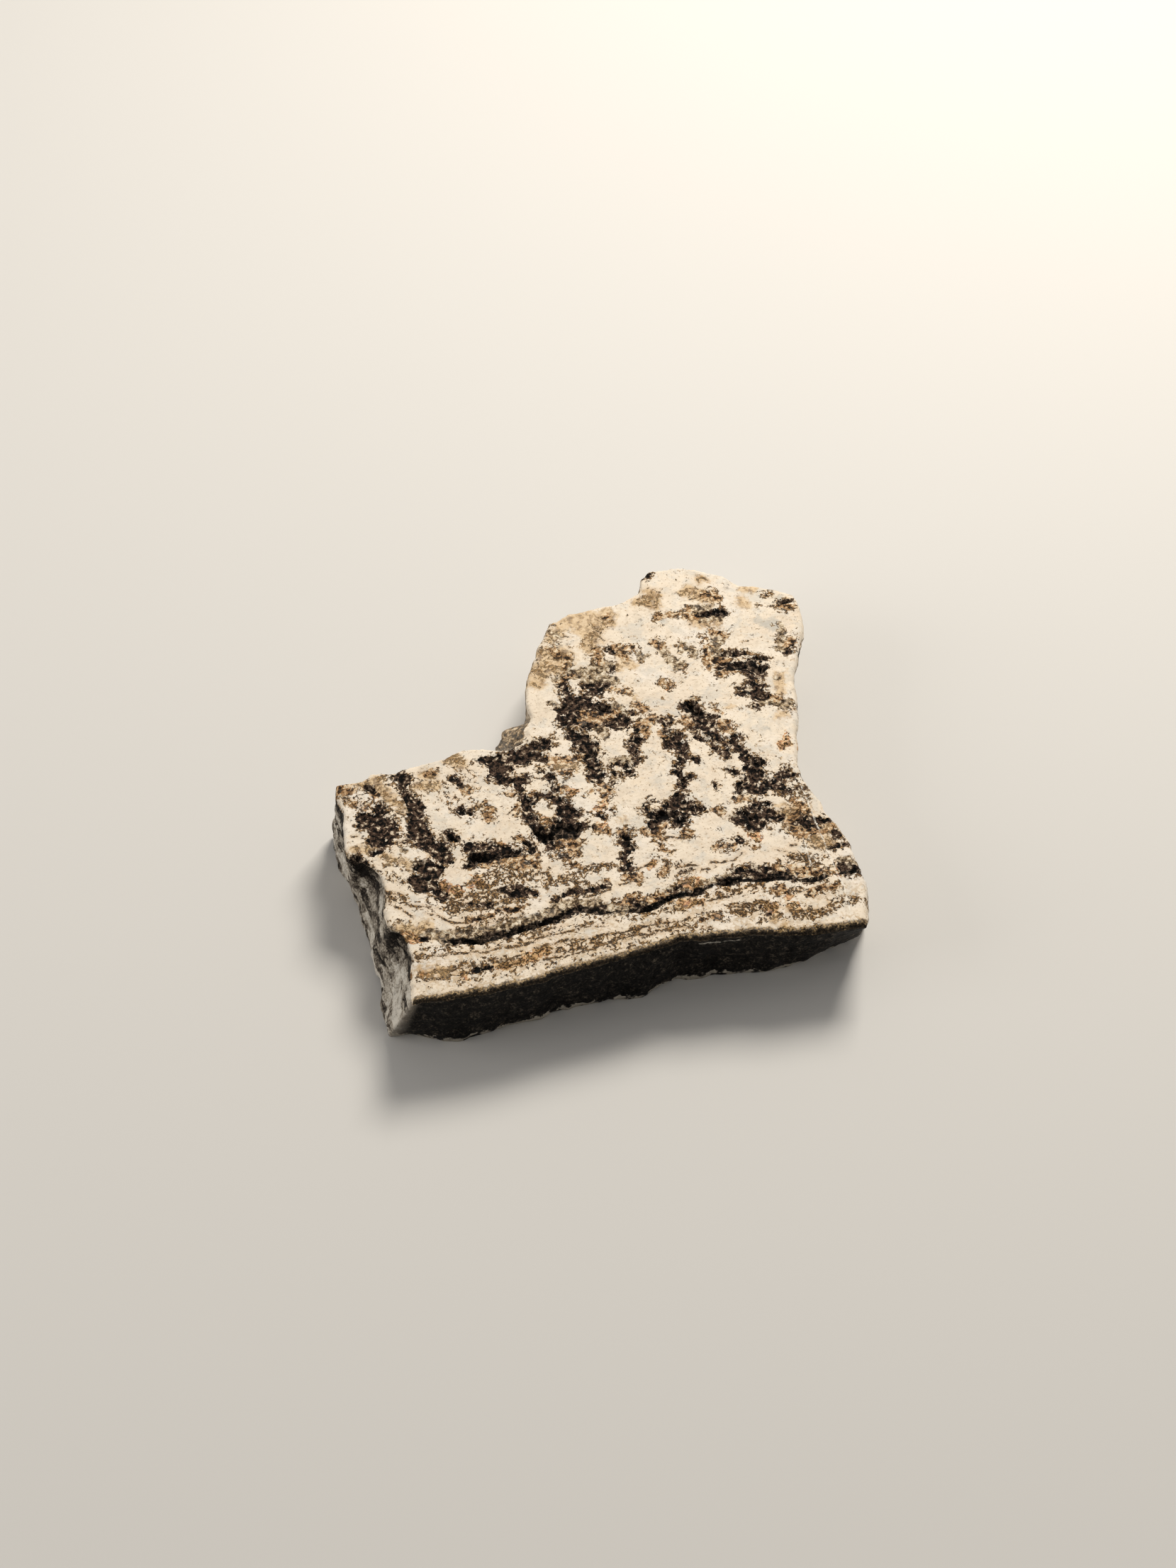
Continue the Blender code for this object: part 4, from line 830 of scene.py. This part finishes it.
face_count = len(face_x)
wall_index = face_count + np.arange(wall_x.size).reshape(wall_x.shape)
wall_loops = np.vstack([rim_index, wall_index, wall_index[-1].max() + 1 + np.arange(rim_count)])


def grid_cells(index):
    """The four corners of each cell of a grid of places, seen the right way round from above."""
    corners = (index[:-1, :-1], index[:-1, 1:], index[1:, 1:], index[1:, :-1])
    return np.stack(corners, axis=-1).reshape(-1, 4)


def ring_cells(loops):
    """The four corners of each cell between closed loops, where each loop lies under the last."""
    after = np.roll(loops, -1, axis=1)
    corners = (loops[:-1], loops[1:], after[1:], after[:-1])
    return np.stack(corners, axis=-1).reshape(-1, 4)


cells = np.concatenate([grid_cells(lower_index), grid_cells(tower_index), ring_cells(wall_loops)])
cells = cells.tolist() + [wall_loops[-1, ::-1].tolist()]
mesh = bpy.data.meshes.new("stone_slab")
mesh.from_pydata(places, [], cells)
mesh.update()


def store(name, on_face, on_wall, under):
    """Keeps one number for each place of the mesh: the face's, the wall's, then the underside's."""
    values = np.concatenate([
        np.broadcast_to(on_face, face_x.shape),
        np.broadcast_to(on_wall, wall_x.shape).ravel(),
        np.full(rim_count, under),
    ])
    layer = mesh.attributes.new(name, "FLOAT", "POINT")
    layer.data.foreach_set("value", values.astype(np.float32))


for name, on_face in face_bands.items():
    store(name, on_face, wall_bands[name], 0.0 if name == "speckle" else OUTSIDE)
store("wall", 0.0, ease(wall_deep, 0.0, 0.20), 1.0)
store("deep", 0.0, wall_deep, THICKNESS)
store("front", 1.0, front_share[None], 0.0)
store("left", 0.0, left_share[None], 0.0)

# Darker and brighter places on the left side, with painted shade in its scoops
left_tone_and_painted_shade = np.zeros(wall_x.shape)
for middle, depth, half_length, half_depth, strength in LEFT_PLACES:
    along = (rim_rows[None, :, 1] - middle) / half_length
    down = (wall_deep - depth) / half_depth
    left_tone_and_painted_shade = left_tone_and_painted_shade + strength * np.exp(-(along**2 + down**2))
store("left_tone_and_painted_shade", 0.0, left_tone_and_painted_shade, 0.0)

darker_brown_stretch = np.zeros(rim_count)
for middle_x, middle_y, half_width in DARKER_BROWN_PLACES:
    away = np.hypot(rim_rows[:, 0] - middle_x, rim_rows[:, 1] - middle_y) / half_width
    darker_brown_stretch = np.maximum(darker_brown_stretch, np.exp(-(away**4)))
store("darker_brown_stretch", 0.0, darker_brown_stretch[None], 0.0)

chip = reach_into(FRONT_CHIP, rim_rows[None, :, 0] + 0 * wall_deep, wall_deep)
store("chip", OUTSIDE, np.where(front_share[None] > 0.5, chip, OUTSIDE), OUTSIDE)

# Two strips along the front rim: a sugary one, and inside it the dark fringe
SUGAR_WIDTH = 2.9
FRINGE_WIDTH = 0.60
front_distance = distance_to_chain(face_x, face_y, lower[0, ::3, :2])
store("sugar", ease(SUGAR_WIDTH - front_distance, 0.0, 0.7), 0.0, 0.0)
store("rim", ease(FRINGE_WIDTH - front_distance, 0.0, FRINGE_WIDTH), 1.0, 0.0)
mesh.shade_smooth()
stone_slab = bpy.data.objects.new("stone_slab", mesh)
bpy.context.scene.collection.objects.link(stone_slab)


# The stone's finish.
# Pale silica, dull and very slightly glassy, with dark sugary grains in the bands, brown and rusty
# stains beside them and fine curly marks where the mat grew. The broken sides are rougher.

BLUISH_SILICA = (0.60, 0.59, 0.55, 1.0)
WARM_SILICA = (0.74, 0.60, 0.43, 1.0)
MOTTLED_SILICA = (0.46, 0.39, 0.30, 1.0)
SPECK_BROWN = (0.33, 0.235, 0.145, 1.0)
GREY_SILICA = (0.53, 0.51, 0.46, 1.0)
HAZE_GREY = (0.42, 0.41, 0.37, 1.0)
SUGARY_TAN = (0.40, 0.26, 0.115, 1.0)
CRACK_WHITE = (0.80, 0.76, 0.68, 1.0)
# Painted highlight on the pale chipped edge of the front's foot
FOOT_PALE_EDGE_HIGHLIGHT = (0.52, 0.47, 0.39, 1.0)
CHIP_WHITE = (0.60, 0.56, 0.49, 1.0)

# Shades that run through a row of stops: place, then red, green and blue
SILICA_SHADES = ((0.30, 0.68, 0.58, 0.46), (0.50, 0.74, 0.65, 0.530), (0.68, 0.74, 0.675, 0.590))
TAN_SHADES = ((0.32, 0.20, 0.115, 0.046), (0.45, 0.45, 0.300, 0.145), (0.60, 0.63, 0.470, 0.285))
RUST_SHADES = (
    (0.12, 0.075, 0.022, 0.007), (0.28, 0.31, 0.105, 0.030), (0.46, 0.53, 0.245, 0.085),
    (0.64, 0.62, 0.385, 0.180), (0.80, 0.72, 0.58, 0.40),
)
STAIN_SHADES = ((0.38, 0.42, 0.245, 0.095), (0.58, 0.56, 0.38, 0.185))
MARK_SHADES = ((0.42, 0.018, 0.010, 0.005), (0.51, 0.080, 0.042, 0.017), (0.62, 0.32, 0.185, 0.072))
OLIVE_SHADES = (
    (0.14, 0.036, 0.023, 0.013), (0.27, 0.160, 0.108, 0.062), (0.43, 0.34, 0.250, 0.152),
    (0.62, 0.51, 0.41, 0.28), (0.78, 0.72, 0.63, 0.49),
)
BROWN_SHADES = (
    (0.14, 0.012, 0.0060, 0.0032), (0.27, 0.120, 0.062, 0.026), (0.42, 0.36, 0.205, 0.094),
    (0.60, 0.52, 0.34, 0.180), (0.76, 0.72, 0.60, 0.43),
)
DARK_SHADES = (
    (0.20, 0.0014, 0.0009, 0.0006), (0.30, 0.017, 0.0100, 0.0064), (0.42, 0.050, 0.029, 0.019),
    (0.62, 0.084, 0.054, 0.037), (0.72, 0.20, 0.14, 0.092), (0.84, 0.62, 0.52, 0.39),
)
PIT_SHADES = (
    (0.12, 0.0014, 0.0010, 0.0008), (0.38, 0.007, 0.005, 0.0036), (0.58, 0.040, 0.027, 0.019),
    (0.82, 0.17, 0.125, 0.090),
)
WALL_SHADES = ((0.32, 0.22, 0.19, 0.155), (0.50, 0.42, 0.37, 0.31), (0.68, 0.60, 0.56, 0.49))
LEFT_WALL_SHADES = (
    (0.34, 0.008, 0.006, 0.0045), (0.50, 0.045, 0.036, 0.028), (0.62, 0.18, 0.152, 0.120),
    (0.77, 0.42, 0.375, 0.31), (0.95, 0.64, 0.60, 0.53),
)
# The front side's own dark stone, made darker still as painted shade
FRONT_WALL_DARK_AND_PAINTED_SHADE = (
    (0.42, 0.0015, 0.0012, 0.0010), (0.50, 0.0070, 0.0058, 0.0047), (0.56, 0.019, 0.016, 0.0125),
    (0.66, 0.10, 0.082, 0.062),
)
DARKER_BROWN_SHADES = (
    (0.20, 0.010, 0.007, 0.004), (0.42, 0.125, 0.078, 0.035), (0.62, 0.31, 0.210, 0.110),
    (0.84, 0.52, 0.42, 0.29),
)
OLIVE_FRINGE_SHADES = ((0.40, 0.030, 0.017, 0.007), (0.50, 0.13, 0.078, 0.030), (0.64, 0.46, 0.32, 0.15))
BLACK_FRINGE_SHADES = ((0.40, 0.004, 0.003, 0.002), (0.60, 0.035, 0.024, 0.014))

stone = bpy.data.materials.new("banded_stone")
stone.use_nodes = True
tree = stone.node_tree
tree.nodes.clear()


def put(kind, inputs, **options):
    """Adds one node to the stone, sets its options, and sets or links its inputs."""
    node = tree.nodes.new(kind)
    for name, value in options.items():
        setattr(node, name, value)
    for name, value in inputs.items():
        if isinstance(value, bpy.types.NodeSocket):
            tree.links.new(value, node.inputs[name])
        else:
            node.inputs[name].default_value = value
    return node


def reckon(operation, first, second=0.0, third=0.0):
    """One step of arithmetic on numbers that change over the surface."""
    return put("ShaderNodeMath", {0: first, 1: second, 2: third}, operation=operation).outputs[0]


def plus(first, second):
    """Two numbers added."""
    return reckon("ADD", first, second)


def minus(first, second):
    """The first number less the second."""
    return reckon("SUBTRACT", first, second)


def times(first, second):
    """Two numbers multiplied."""
    return reckon("MULTIPLY", first, second)


def weigh(value, weight, rest):
    """A number times its weight, plus the rest."""
    return reckon("MULTIPLY_ADD", value, weight, rest)


def larger(first, second):
    """The larger of two numbers."""
    return reckon("MAXIMUM", first, second)


def step(value, low, high):
    """0 at low and 1 at high, eased between and level beyond, also where high is the smaller."""
    inputs = {"Value": value, "From Min": low, "From Max": high}
    return put("ShaderNodeMapRange", inputs, interpolation_type="SMOOTHSTEP").outputs["Result"]


def cover(below, above, share, strength=1.0):
    """Lays one colour over another by a share, and never by more than its strength."""
    if strength < 1.0:
        share = times(share, strength)
    return put("ShaderNodeMix", {0: share, 6: below, 7: above}, data_type="RGBA").outputs[2]


def cloud(place, per_mm, detail=2.0, roughness=0.5, distortion=0.0):
    """Soft random clouds, from about 0.25 to 0.75: a number, then a colour."""
    inputs = {"Vector": place, "Scale": per_mm, "Detail": detail, "Roughness": roughness}
    inputs["Distortion"] = distortion
    return put("ShaderNodeTexNoise", inputs).outputs


def cells_of(place, per_mm):
    """Random cells: each one's distance from its middle, and a colour of its own."""
    return put("ShaderNodeTexVoronoi", {"Vector": place, "Scale": per_mm}).outputs


def shades(value, stops):
    """Turns a number into a colour through a row of stops."""
    node = put("ShaderNodeValToRGB", {"Fac": value})
    ramp = node.color_ramp
    while len(ramp.elements) < len(stops):
        ramp.elements.new(0.5)
    for element, (place, red, green, blue) in zip(ramp.elements, stops):
        element.position = place
        element.color = (red, green, blue, 1.0)
    return node.outputs["Color"]


def stored(name):
    """A number that the mesh carries."""
    return put("ShaderNodeAttribute", {}, attribute_name=name).outputs["Fac"]


def place_math(operation, inputs):
    """One step of arithmetic on places."""
    return put("ShaderNodeVectorMath", inputs, operation=operation).outputs[0]


object_place = put("ShaderNodeTexCoord", {}).outputs["Object"]
place_mm = place_math("SCALE", {0: object_place, "Scale": 1.0 / MM})

# Grains about 0.15 mm across, bent out of round, each with its own tone and a dark gap around it
GRAINS_PER_MM = 5.6
GRAIN_BEND = (0.34, 0.34, 0.34)
bend = cloud(place_mm, 3.4)[1]
bent_place = place_math("MULTIPLY_ADD", {0: bend, 1: GRAIN_BEND, 2: place_mm})
grains = cells_of(bent_place, GRAINS_PER_MM)
grain_tone = grains["Color"]
grain_gap = step(grains["Distance"], 0.38, 0.66)
lumps = cloud(bent_place, 3.7, 2.0, 0.60, 0.2)[0]
grain_value = weigh(lumps, 2.7, -0.90)
grain_value = plus(grain_value, weigh(grain_tone, 0.26, -0.10))
grain_value = weigh(grain_gap, -0.14, grain_value)

# Curls: short lines where a soft cloud crosses its middle. Clouds of other sizes break them up.
ragged = cloud(place_mm, 2.6, 3.0, 0.62)[0]
ragged_fine = cloud(place_mm, 7.0, 1.5, 0.55)[0]
blotch = cloud(place_mm, 0.45, 3.0, 0.55)[0]
blotch_mid = cloud(place_mm, 1.3, 3.0, 0.6)[0]
curl = reckon("ABSOLUTE", minus(cloud(bent_place, 2.5, 1.2, 0.5, 0.4)[0], 0.5))
crumbs = cloud(bent_place, 5.2, 2.0, 0.55)[0]
grit = cloud(place_mm, 9.0, 2.0, 0.6)[0]

# How far the bands' sides wander in from their strokes, or out from them
unsteady = weigh(ragged, 0.62, -0.31)
unsteady = plus(unsteady, weigh(ragged_fine, 0.22, -0.11))
unsteady = plus(unsteady, weigh(grain_tone, 0.20, -0.10))
steadier = times(unsteady, 0.45)


def band_share(name, slack=0.0, softness=0.025, wander=unsteady):
    """1 inside a band and 0 outside, with a ragged side."""
    return step(plus(stored(name), wander), -slack - softness, -slack + softness)


# Pale silica, with blue-grey, warm and mottled places
cream = shades(blotch, SILICA_SHADES)
cream = cover(cream, BLUISH_SILICA, step(blotch_mid, 0.52, 0.66), 0.40)
cream = cover(cream, WARM_SILICA, step(cloud(place_mm, 0.8, 3.0, 0.6)[1], 0.54, 0.70), 0.30)
cream = cover(cream, MOTTLED_SILICA, step(cloud(place_mm, 2.4, 5.0, 0.72)[0], 0.54, 0.34), 0.36)
cream = cover(cream, SPECK_BROWN, step(ragged_fine, 0.60, 0.67), 0.50)
cream = cover(cream, GREY_SILICA, step(cloud(place_mm, 0.75, 5.0, 0.68, 0.4)[0], 0.50, 0.64), 0.50)
cream = cover(cream, HAZE_GREY, step(plus(stored("haze"), unsteady), -0.20, 0.16), 0.72)

# Tan and rusty stains in it
tan_reach = step(plus(stored("tan"), unsteady), -0.24, 0.14)
tan_value = weigh(grain_value, 0.45, times(ragged, 0.60))
cream = cover(cream, shades(tan_value, TAN_SHADES), tan_reach, 0.80)
cream = cover(cream, shades(grain_value, RUST_SHADES), band_share("rust", 0.08), 0.85)

# Towards the front edge the silica is sugary, with tan gaps between its grains
sugar_share = times(times(grain_gap, stored("sugar")), step(blotch_mid, 0.38, 0.58))
cream = cover(cream, SUGARY_TAN, sugar_share, 0.50)

# Curly brown marks with an ochre stain, thick beside the bands and thin elsewhere
beside = larger(stored("dark"), stored("brown"))
beside = larger(beside, minus(larger(stored("olive"), stored("rust")), 0.16))
mark_thickness = larger(stored("speckle"), times(step(beside, -0.42, 0.0), 0.62))
mark_thickness = weigh(blotch_mid, 0.9, minus(mark_thickness, 0.45))
curl_width = weigh(mark_thickness, 0.070, 0.026)
kept = weigh(mark_thickness, 0.30, cloud(place_mm, 2.7, 3.0, 0.65)[0])
curl_share = times(step(curl, curl_width, minus(curl_width, 0.022)), step(kept, 0.60, 0.645))
crumb_share = step(weigh(mark_thickness, 0.15, crumbs), 0.635, 0.665)
crumb_share = times(crumb_share, step(mark_thickness, 0.02, 0.22))
line_reach = weigh(unsteady, 0.30, stored("line"))
line_share = times(step(line_reach, -0.030, 0.010), step(ragged, 0.38, 0.46))
mark_share = larger(larger(curl_share, crumb_share), line_share)
stain_share = times(step(curl, plus(curl_width, 0.10), curl_width), step(kept, 0.56, 0.72))
stain_share = larger(stain_share, times(step(line_reach, -0.24, -0.04), kept))
cream = cover(cream, shades(ragged, STAIN_SHADES), stain_share, 0.55)
mark_strength = times(mark_share, weigh(tan_reach, -0.30, 0.94))
colour = cover(cream, shades(grit, MARK_SHADES), mark_strength)

# Olive and brown grains
olive_share = band_share("olive", 0.04, 0.05, times(unsteady, 0.8))
colour = cover(colour, shades(grain_value, OLIVE_SHADES), olive_share, 0.90)
colour = cover(colour, shades(grain_value, BROWN_SHADES), band_share("brown", 0.06), 0.92)

# Dark sugary mud, the pits in it, and the pale cracks across it
dark_share = band_share("dark", 0.02)
dark_value = plus(grain_value, weigh(blotch_mid, 0.6, -0.34))
colour = cover(colour, shades(dark_value, DARK_SHADES), dark_share)
pit_share = larger(band_share("pit", 0.0, 0.04), band_share("core", 0.03, 0.03, steadier))
colour = cover(colour, shades(grain_value, PIT_SHADES), pit_share)
crack_share = step(weigh(unsteady, 0.12, stored("crack")), -0.035, 0.0)
colour = cover(colour, CRACK_WHITE, crack_share, 0.75)

# The broken sides: the bands run on down, greyer and dirtier
wall_stone = shades(cloud(place_mm, 0.9, 4.0, 0.62)[0], WALL_SHADES)
wall_colour = cover(colour, wall_stone, 0.55)

# The left side has dark and white flakes, and the front is nearly black: dark stone, made darker still
# as painted shade
FLAKE_SHAPE = (2.4, 0.75, 2.6)
flake_place = place_math("MULTIPLY", {0: bent_place, 1: FLAKE_SHAPE})
flakes = cells_of(flake_place, 0.9)
rough_value = weigh(grit, 0.5, times(ragged, 0.5))
left_value = weigh(flakes["Color"], 0.50, times(cloud(flake_place, 1.3, 5.0, 0.72)[0], 0.9))
# The left side's dark places include painted shade in its scoops
left_value = weigh(stored("left_tone_and_painted_shade"), 0.26, left_value)
left_value = weigh(rough_value, 1.30, minus(left_value, 0.65))
left_value = weigh(step(flakes["Distance"], 0.55, 0.95), -0.22, left_value)
wall_colour = cover(wall_colour, shades(left_value, LEFT_WALL_SHADES), stored("left"))
wall_colour = cover(wall_colour, shades(rough_value, FRONT_WALL_DARK_AND_PAINTED_SHADE), stored("front"))
wall_colour = cover(wall_colour, shades(grain_value, DARKER_BROWN_SHADES), stored("darker_brown_stretch"), 0.85)

# A thin pale line along the front's foot, broken in places: a pale chipped edge with a painted
# highlight. Then the chip under its edge
foot_highlight_share = step(weigh(unsteady, 0.9, stored("deep")), 3.46, 3.54)
foot_highlight_share = times(foot_highlight_share, times(stored("front"), step(blotch_mid, 0.44, 0.52)))
wall_colour = cover(wall_colour, FOOT_PALE_EDGE_HIGHLIGHT, foot_highlight_share, 0.70)
chip_share = step(weigh(unsteady, 0.15, stored("chip")), -0.04, 0.02)
wall_colour = cover(wall_colour, CHIP_WHITE, chip_share, 0.85)
wall_share = step(plus(stored("wall"), unsteady), 0.25, 0.75)
wall_share = larger(wall_share, reckon("GREATER_THAN", stored("deep"), 0.10))
colour = cover(colour, wall_colour, wall_share)

# Close to the front rim the face turns olive, then black
fringe_reach = weigh(unsteady, 1.3, times(stored("front"), stored("rim")))
on_face = minus(1.0, wall_share)
olive_fringe = times(times(step(fringe_reach, 0.26, 0.62), 0.88), on_face)
colour = cover(colour, shades(grit, OLIVE_FRINGE_SHADES), olive_fringe)
black_fringe = times(step(fringe_reach, 0.74, 0.92), times(on_face, 0.96))
colour = cover(colour, shades(grit, BLACK_FRINGE_SHADES), black_fringe)

# Small relief: the grains stand rough in the dark bands, and the pale stone has a fine worn skin
RELIEF = 0.08 * MM
dark_any = larger(dark_share, larger(pit_share, mark_share))
grain_height = times(minus(1.0, grains["Distance"]), weigh(dark_any, 1.1, 0.05))
skin = weigh(cloud(place_mm, 3.0, 4.0, 0.55)[0], 0.45, grain_height)
height = plus(skin, times(ragged, times(wall_share, 1.2)))
bump = put("ShaderNodeBump", {"Height": height, "Strength": 1.0, "Distance": RELIEF})

roughness = weigh(blotch_mid, 0.10, weigh(dark_any, 0.22, 0.58))
shader = put("ShaderNodeBsdfPrincipled", {
    "Base Color": colour,
    "Roughness": roughness,
    "Normal": bump.outputs["Normal"],
    "IOR": 1.50,
    "Specular IOR Level": 0.12,
})
put("ShaderNodeOutputMaterial", {"Surface": shader.outputs["BSDF"]})
mesh.materials.append(stone)

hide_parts("stromatolite")
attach(stone_slab, "root")


# The floor.
# A plain pale sheet that the slab lies on. It is far wider than the slab, so that the camera
# doesn't see its edges.

FLOOR_HALF = 0.60
floor_mesh = bpy.data.meshes.new("floor")
floor_sides = ((-1, -1), (1, -1), (1, 1), (-1, 1))
floor_corners = [(FLOOR_HALF * x, FLOOR_HALF * y, 0.0) for x, y in floor_sides]
floor_mesh.from_pydata(floor_corners, [], [(0, 1, 2, 3)])
floor = bpy.data.objects.new("floor", floor_mesh)
bpy.context.scene.collection.objects.link(floor)
paper = bpy.data.materials.new("pale_paper")
paper.use_nodes = True
paper_shader = paper.node_tree.nodes["Principled BSDF"]
paper_shader.inputs["Base Color"].default_value = (0.60, 0.59, 0.57, 1.0)
paper_shader.inputs["Roughness"].default_value = 0.95
floor_mesh.materials.append(paper)


# Light.
# One soft warm lamp from the back right, a weak one from the left, and an even pale sky.

world = bpy.data.worlds.new("studio")
bpy.context.scene.world = world
world.use_nodes = True
sky = world.node_tree.nodes["Background"]
sky.inputs["Color"].default_value = (1.0, 0.97, 0.93, 1.0)
sky.inputs["Strength"].default_value = 0.32


def add_lamp(name, place, size, power, colour):
    """A square soft lamp at a place, turned to face the slab."""
    lamp = bpy.data.lights.new(name, "AREA")
    lamp.size = size
    lamp.energy = power
    lamp.color = colour
    outward = np.array(place) / np.linalg.norm(place)
    lamp_stand = bpy.data.objects.new(name, lamp)
    lamp_stand.location = place
    lamp_stand.rotation_euler = (math.acos(outward[2]), 0.0, math.atan2(outward[0], -outward[1]))
    bpy.context.scene.collection.objects.link(lamp_stand)


add_lamp("key_lamp", (0.085, 0.110, 0.150), 0.07, 0.47, (1.0, 0.94, 0.85))
add_lamp("side_lamp", (-0.170, 0.020, 0.070), 0.10, 0.10, (1.0, 0.96, 0.91))
bpy.context.scene.view_settings.view_transform = "Standard"


# Camera.
# It looks down at the slab from in front and a little to the left.

CAMERA_ELEVATION = math.radians(50.0)
CAMERA_AZIMUTH = math.radians(-14.5)
CAMERA_DISTANCE = 0.124
CAMERA_HALF_ANGLE = math.radians(18.5)
CAMERA_AIM = np.array([0.35 - OUTLINE_MIDDLE[0], 2.30 - OUTLINE_MIDDLE[1], 0.0]) * MM
camera = bpy.data.cameras.new("camera")
camera.sensor_width = 36.0
camera.lens = 18.0 / math.tan(CAMERA_HALF_ANGLE)
camera.clip_start = 0.005
camera_stand = bpy.data.objects.new("camera", camera)
towards_camera = np.array([
    math.sin(CAMERA_AZIMUTH) * math.cos(CAMERA_ELEVATION),
    -math.cos(CAMERA_AZIMUTH) * math.cos(CAMERA_ELEVATION),
    math.sin(CAMERA_ELEVATION),
])
camera_stand.location = CAMERA_AIM + CAMERA_DISTANCE * towards_camera
camera_stand.rotation_euler = (math.pi / 2 - CAMERA_ELEVATION, 0.0, CAMERA_AZIMUTH)
bpy.context.scene.collection.objects.link(camera_stand)
bpy.context.scene.camera = camera_stand
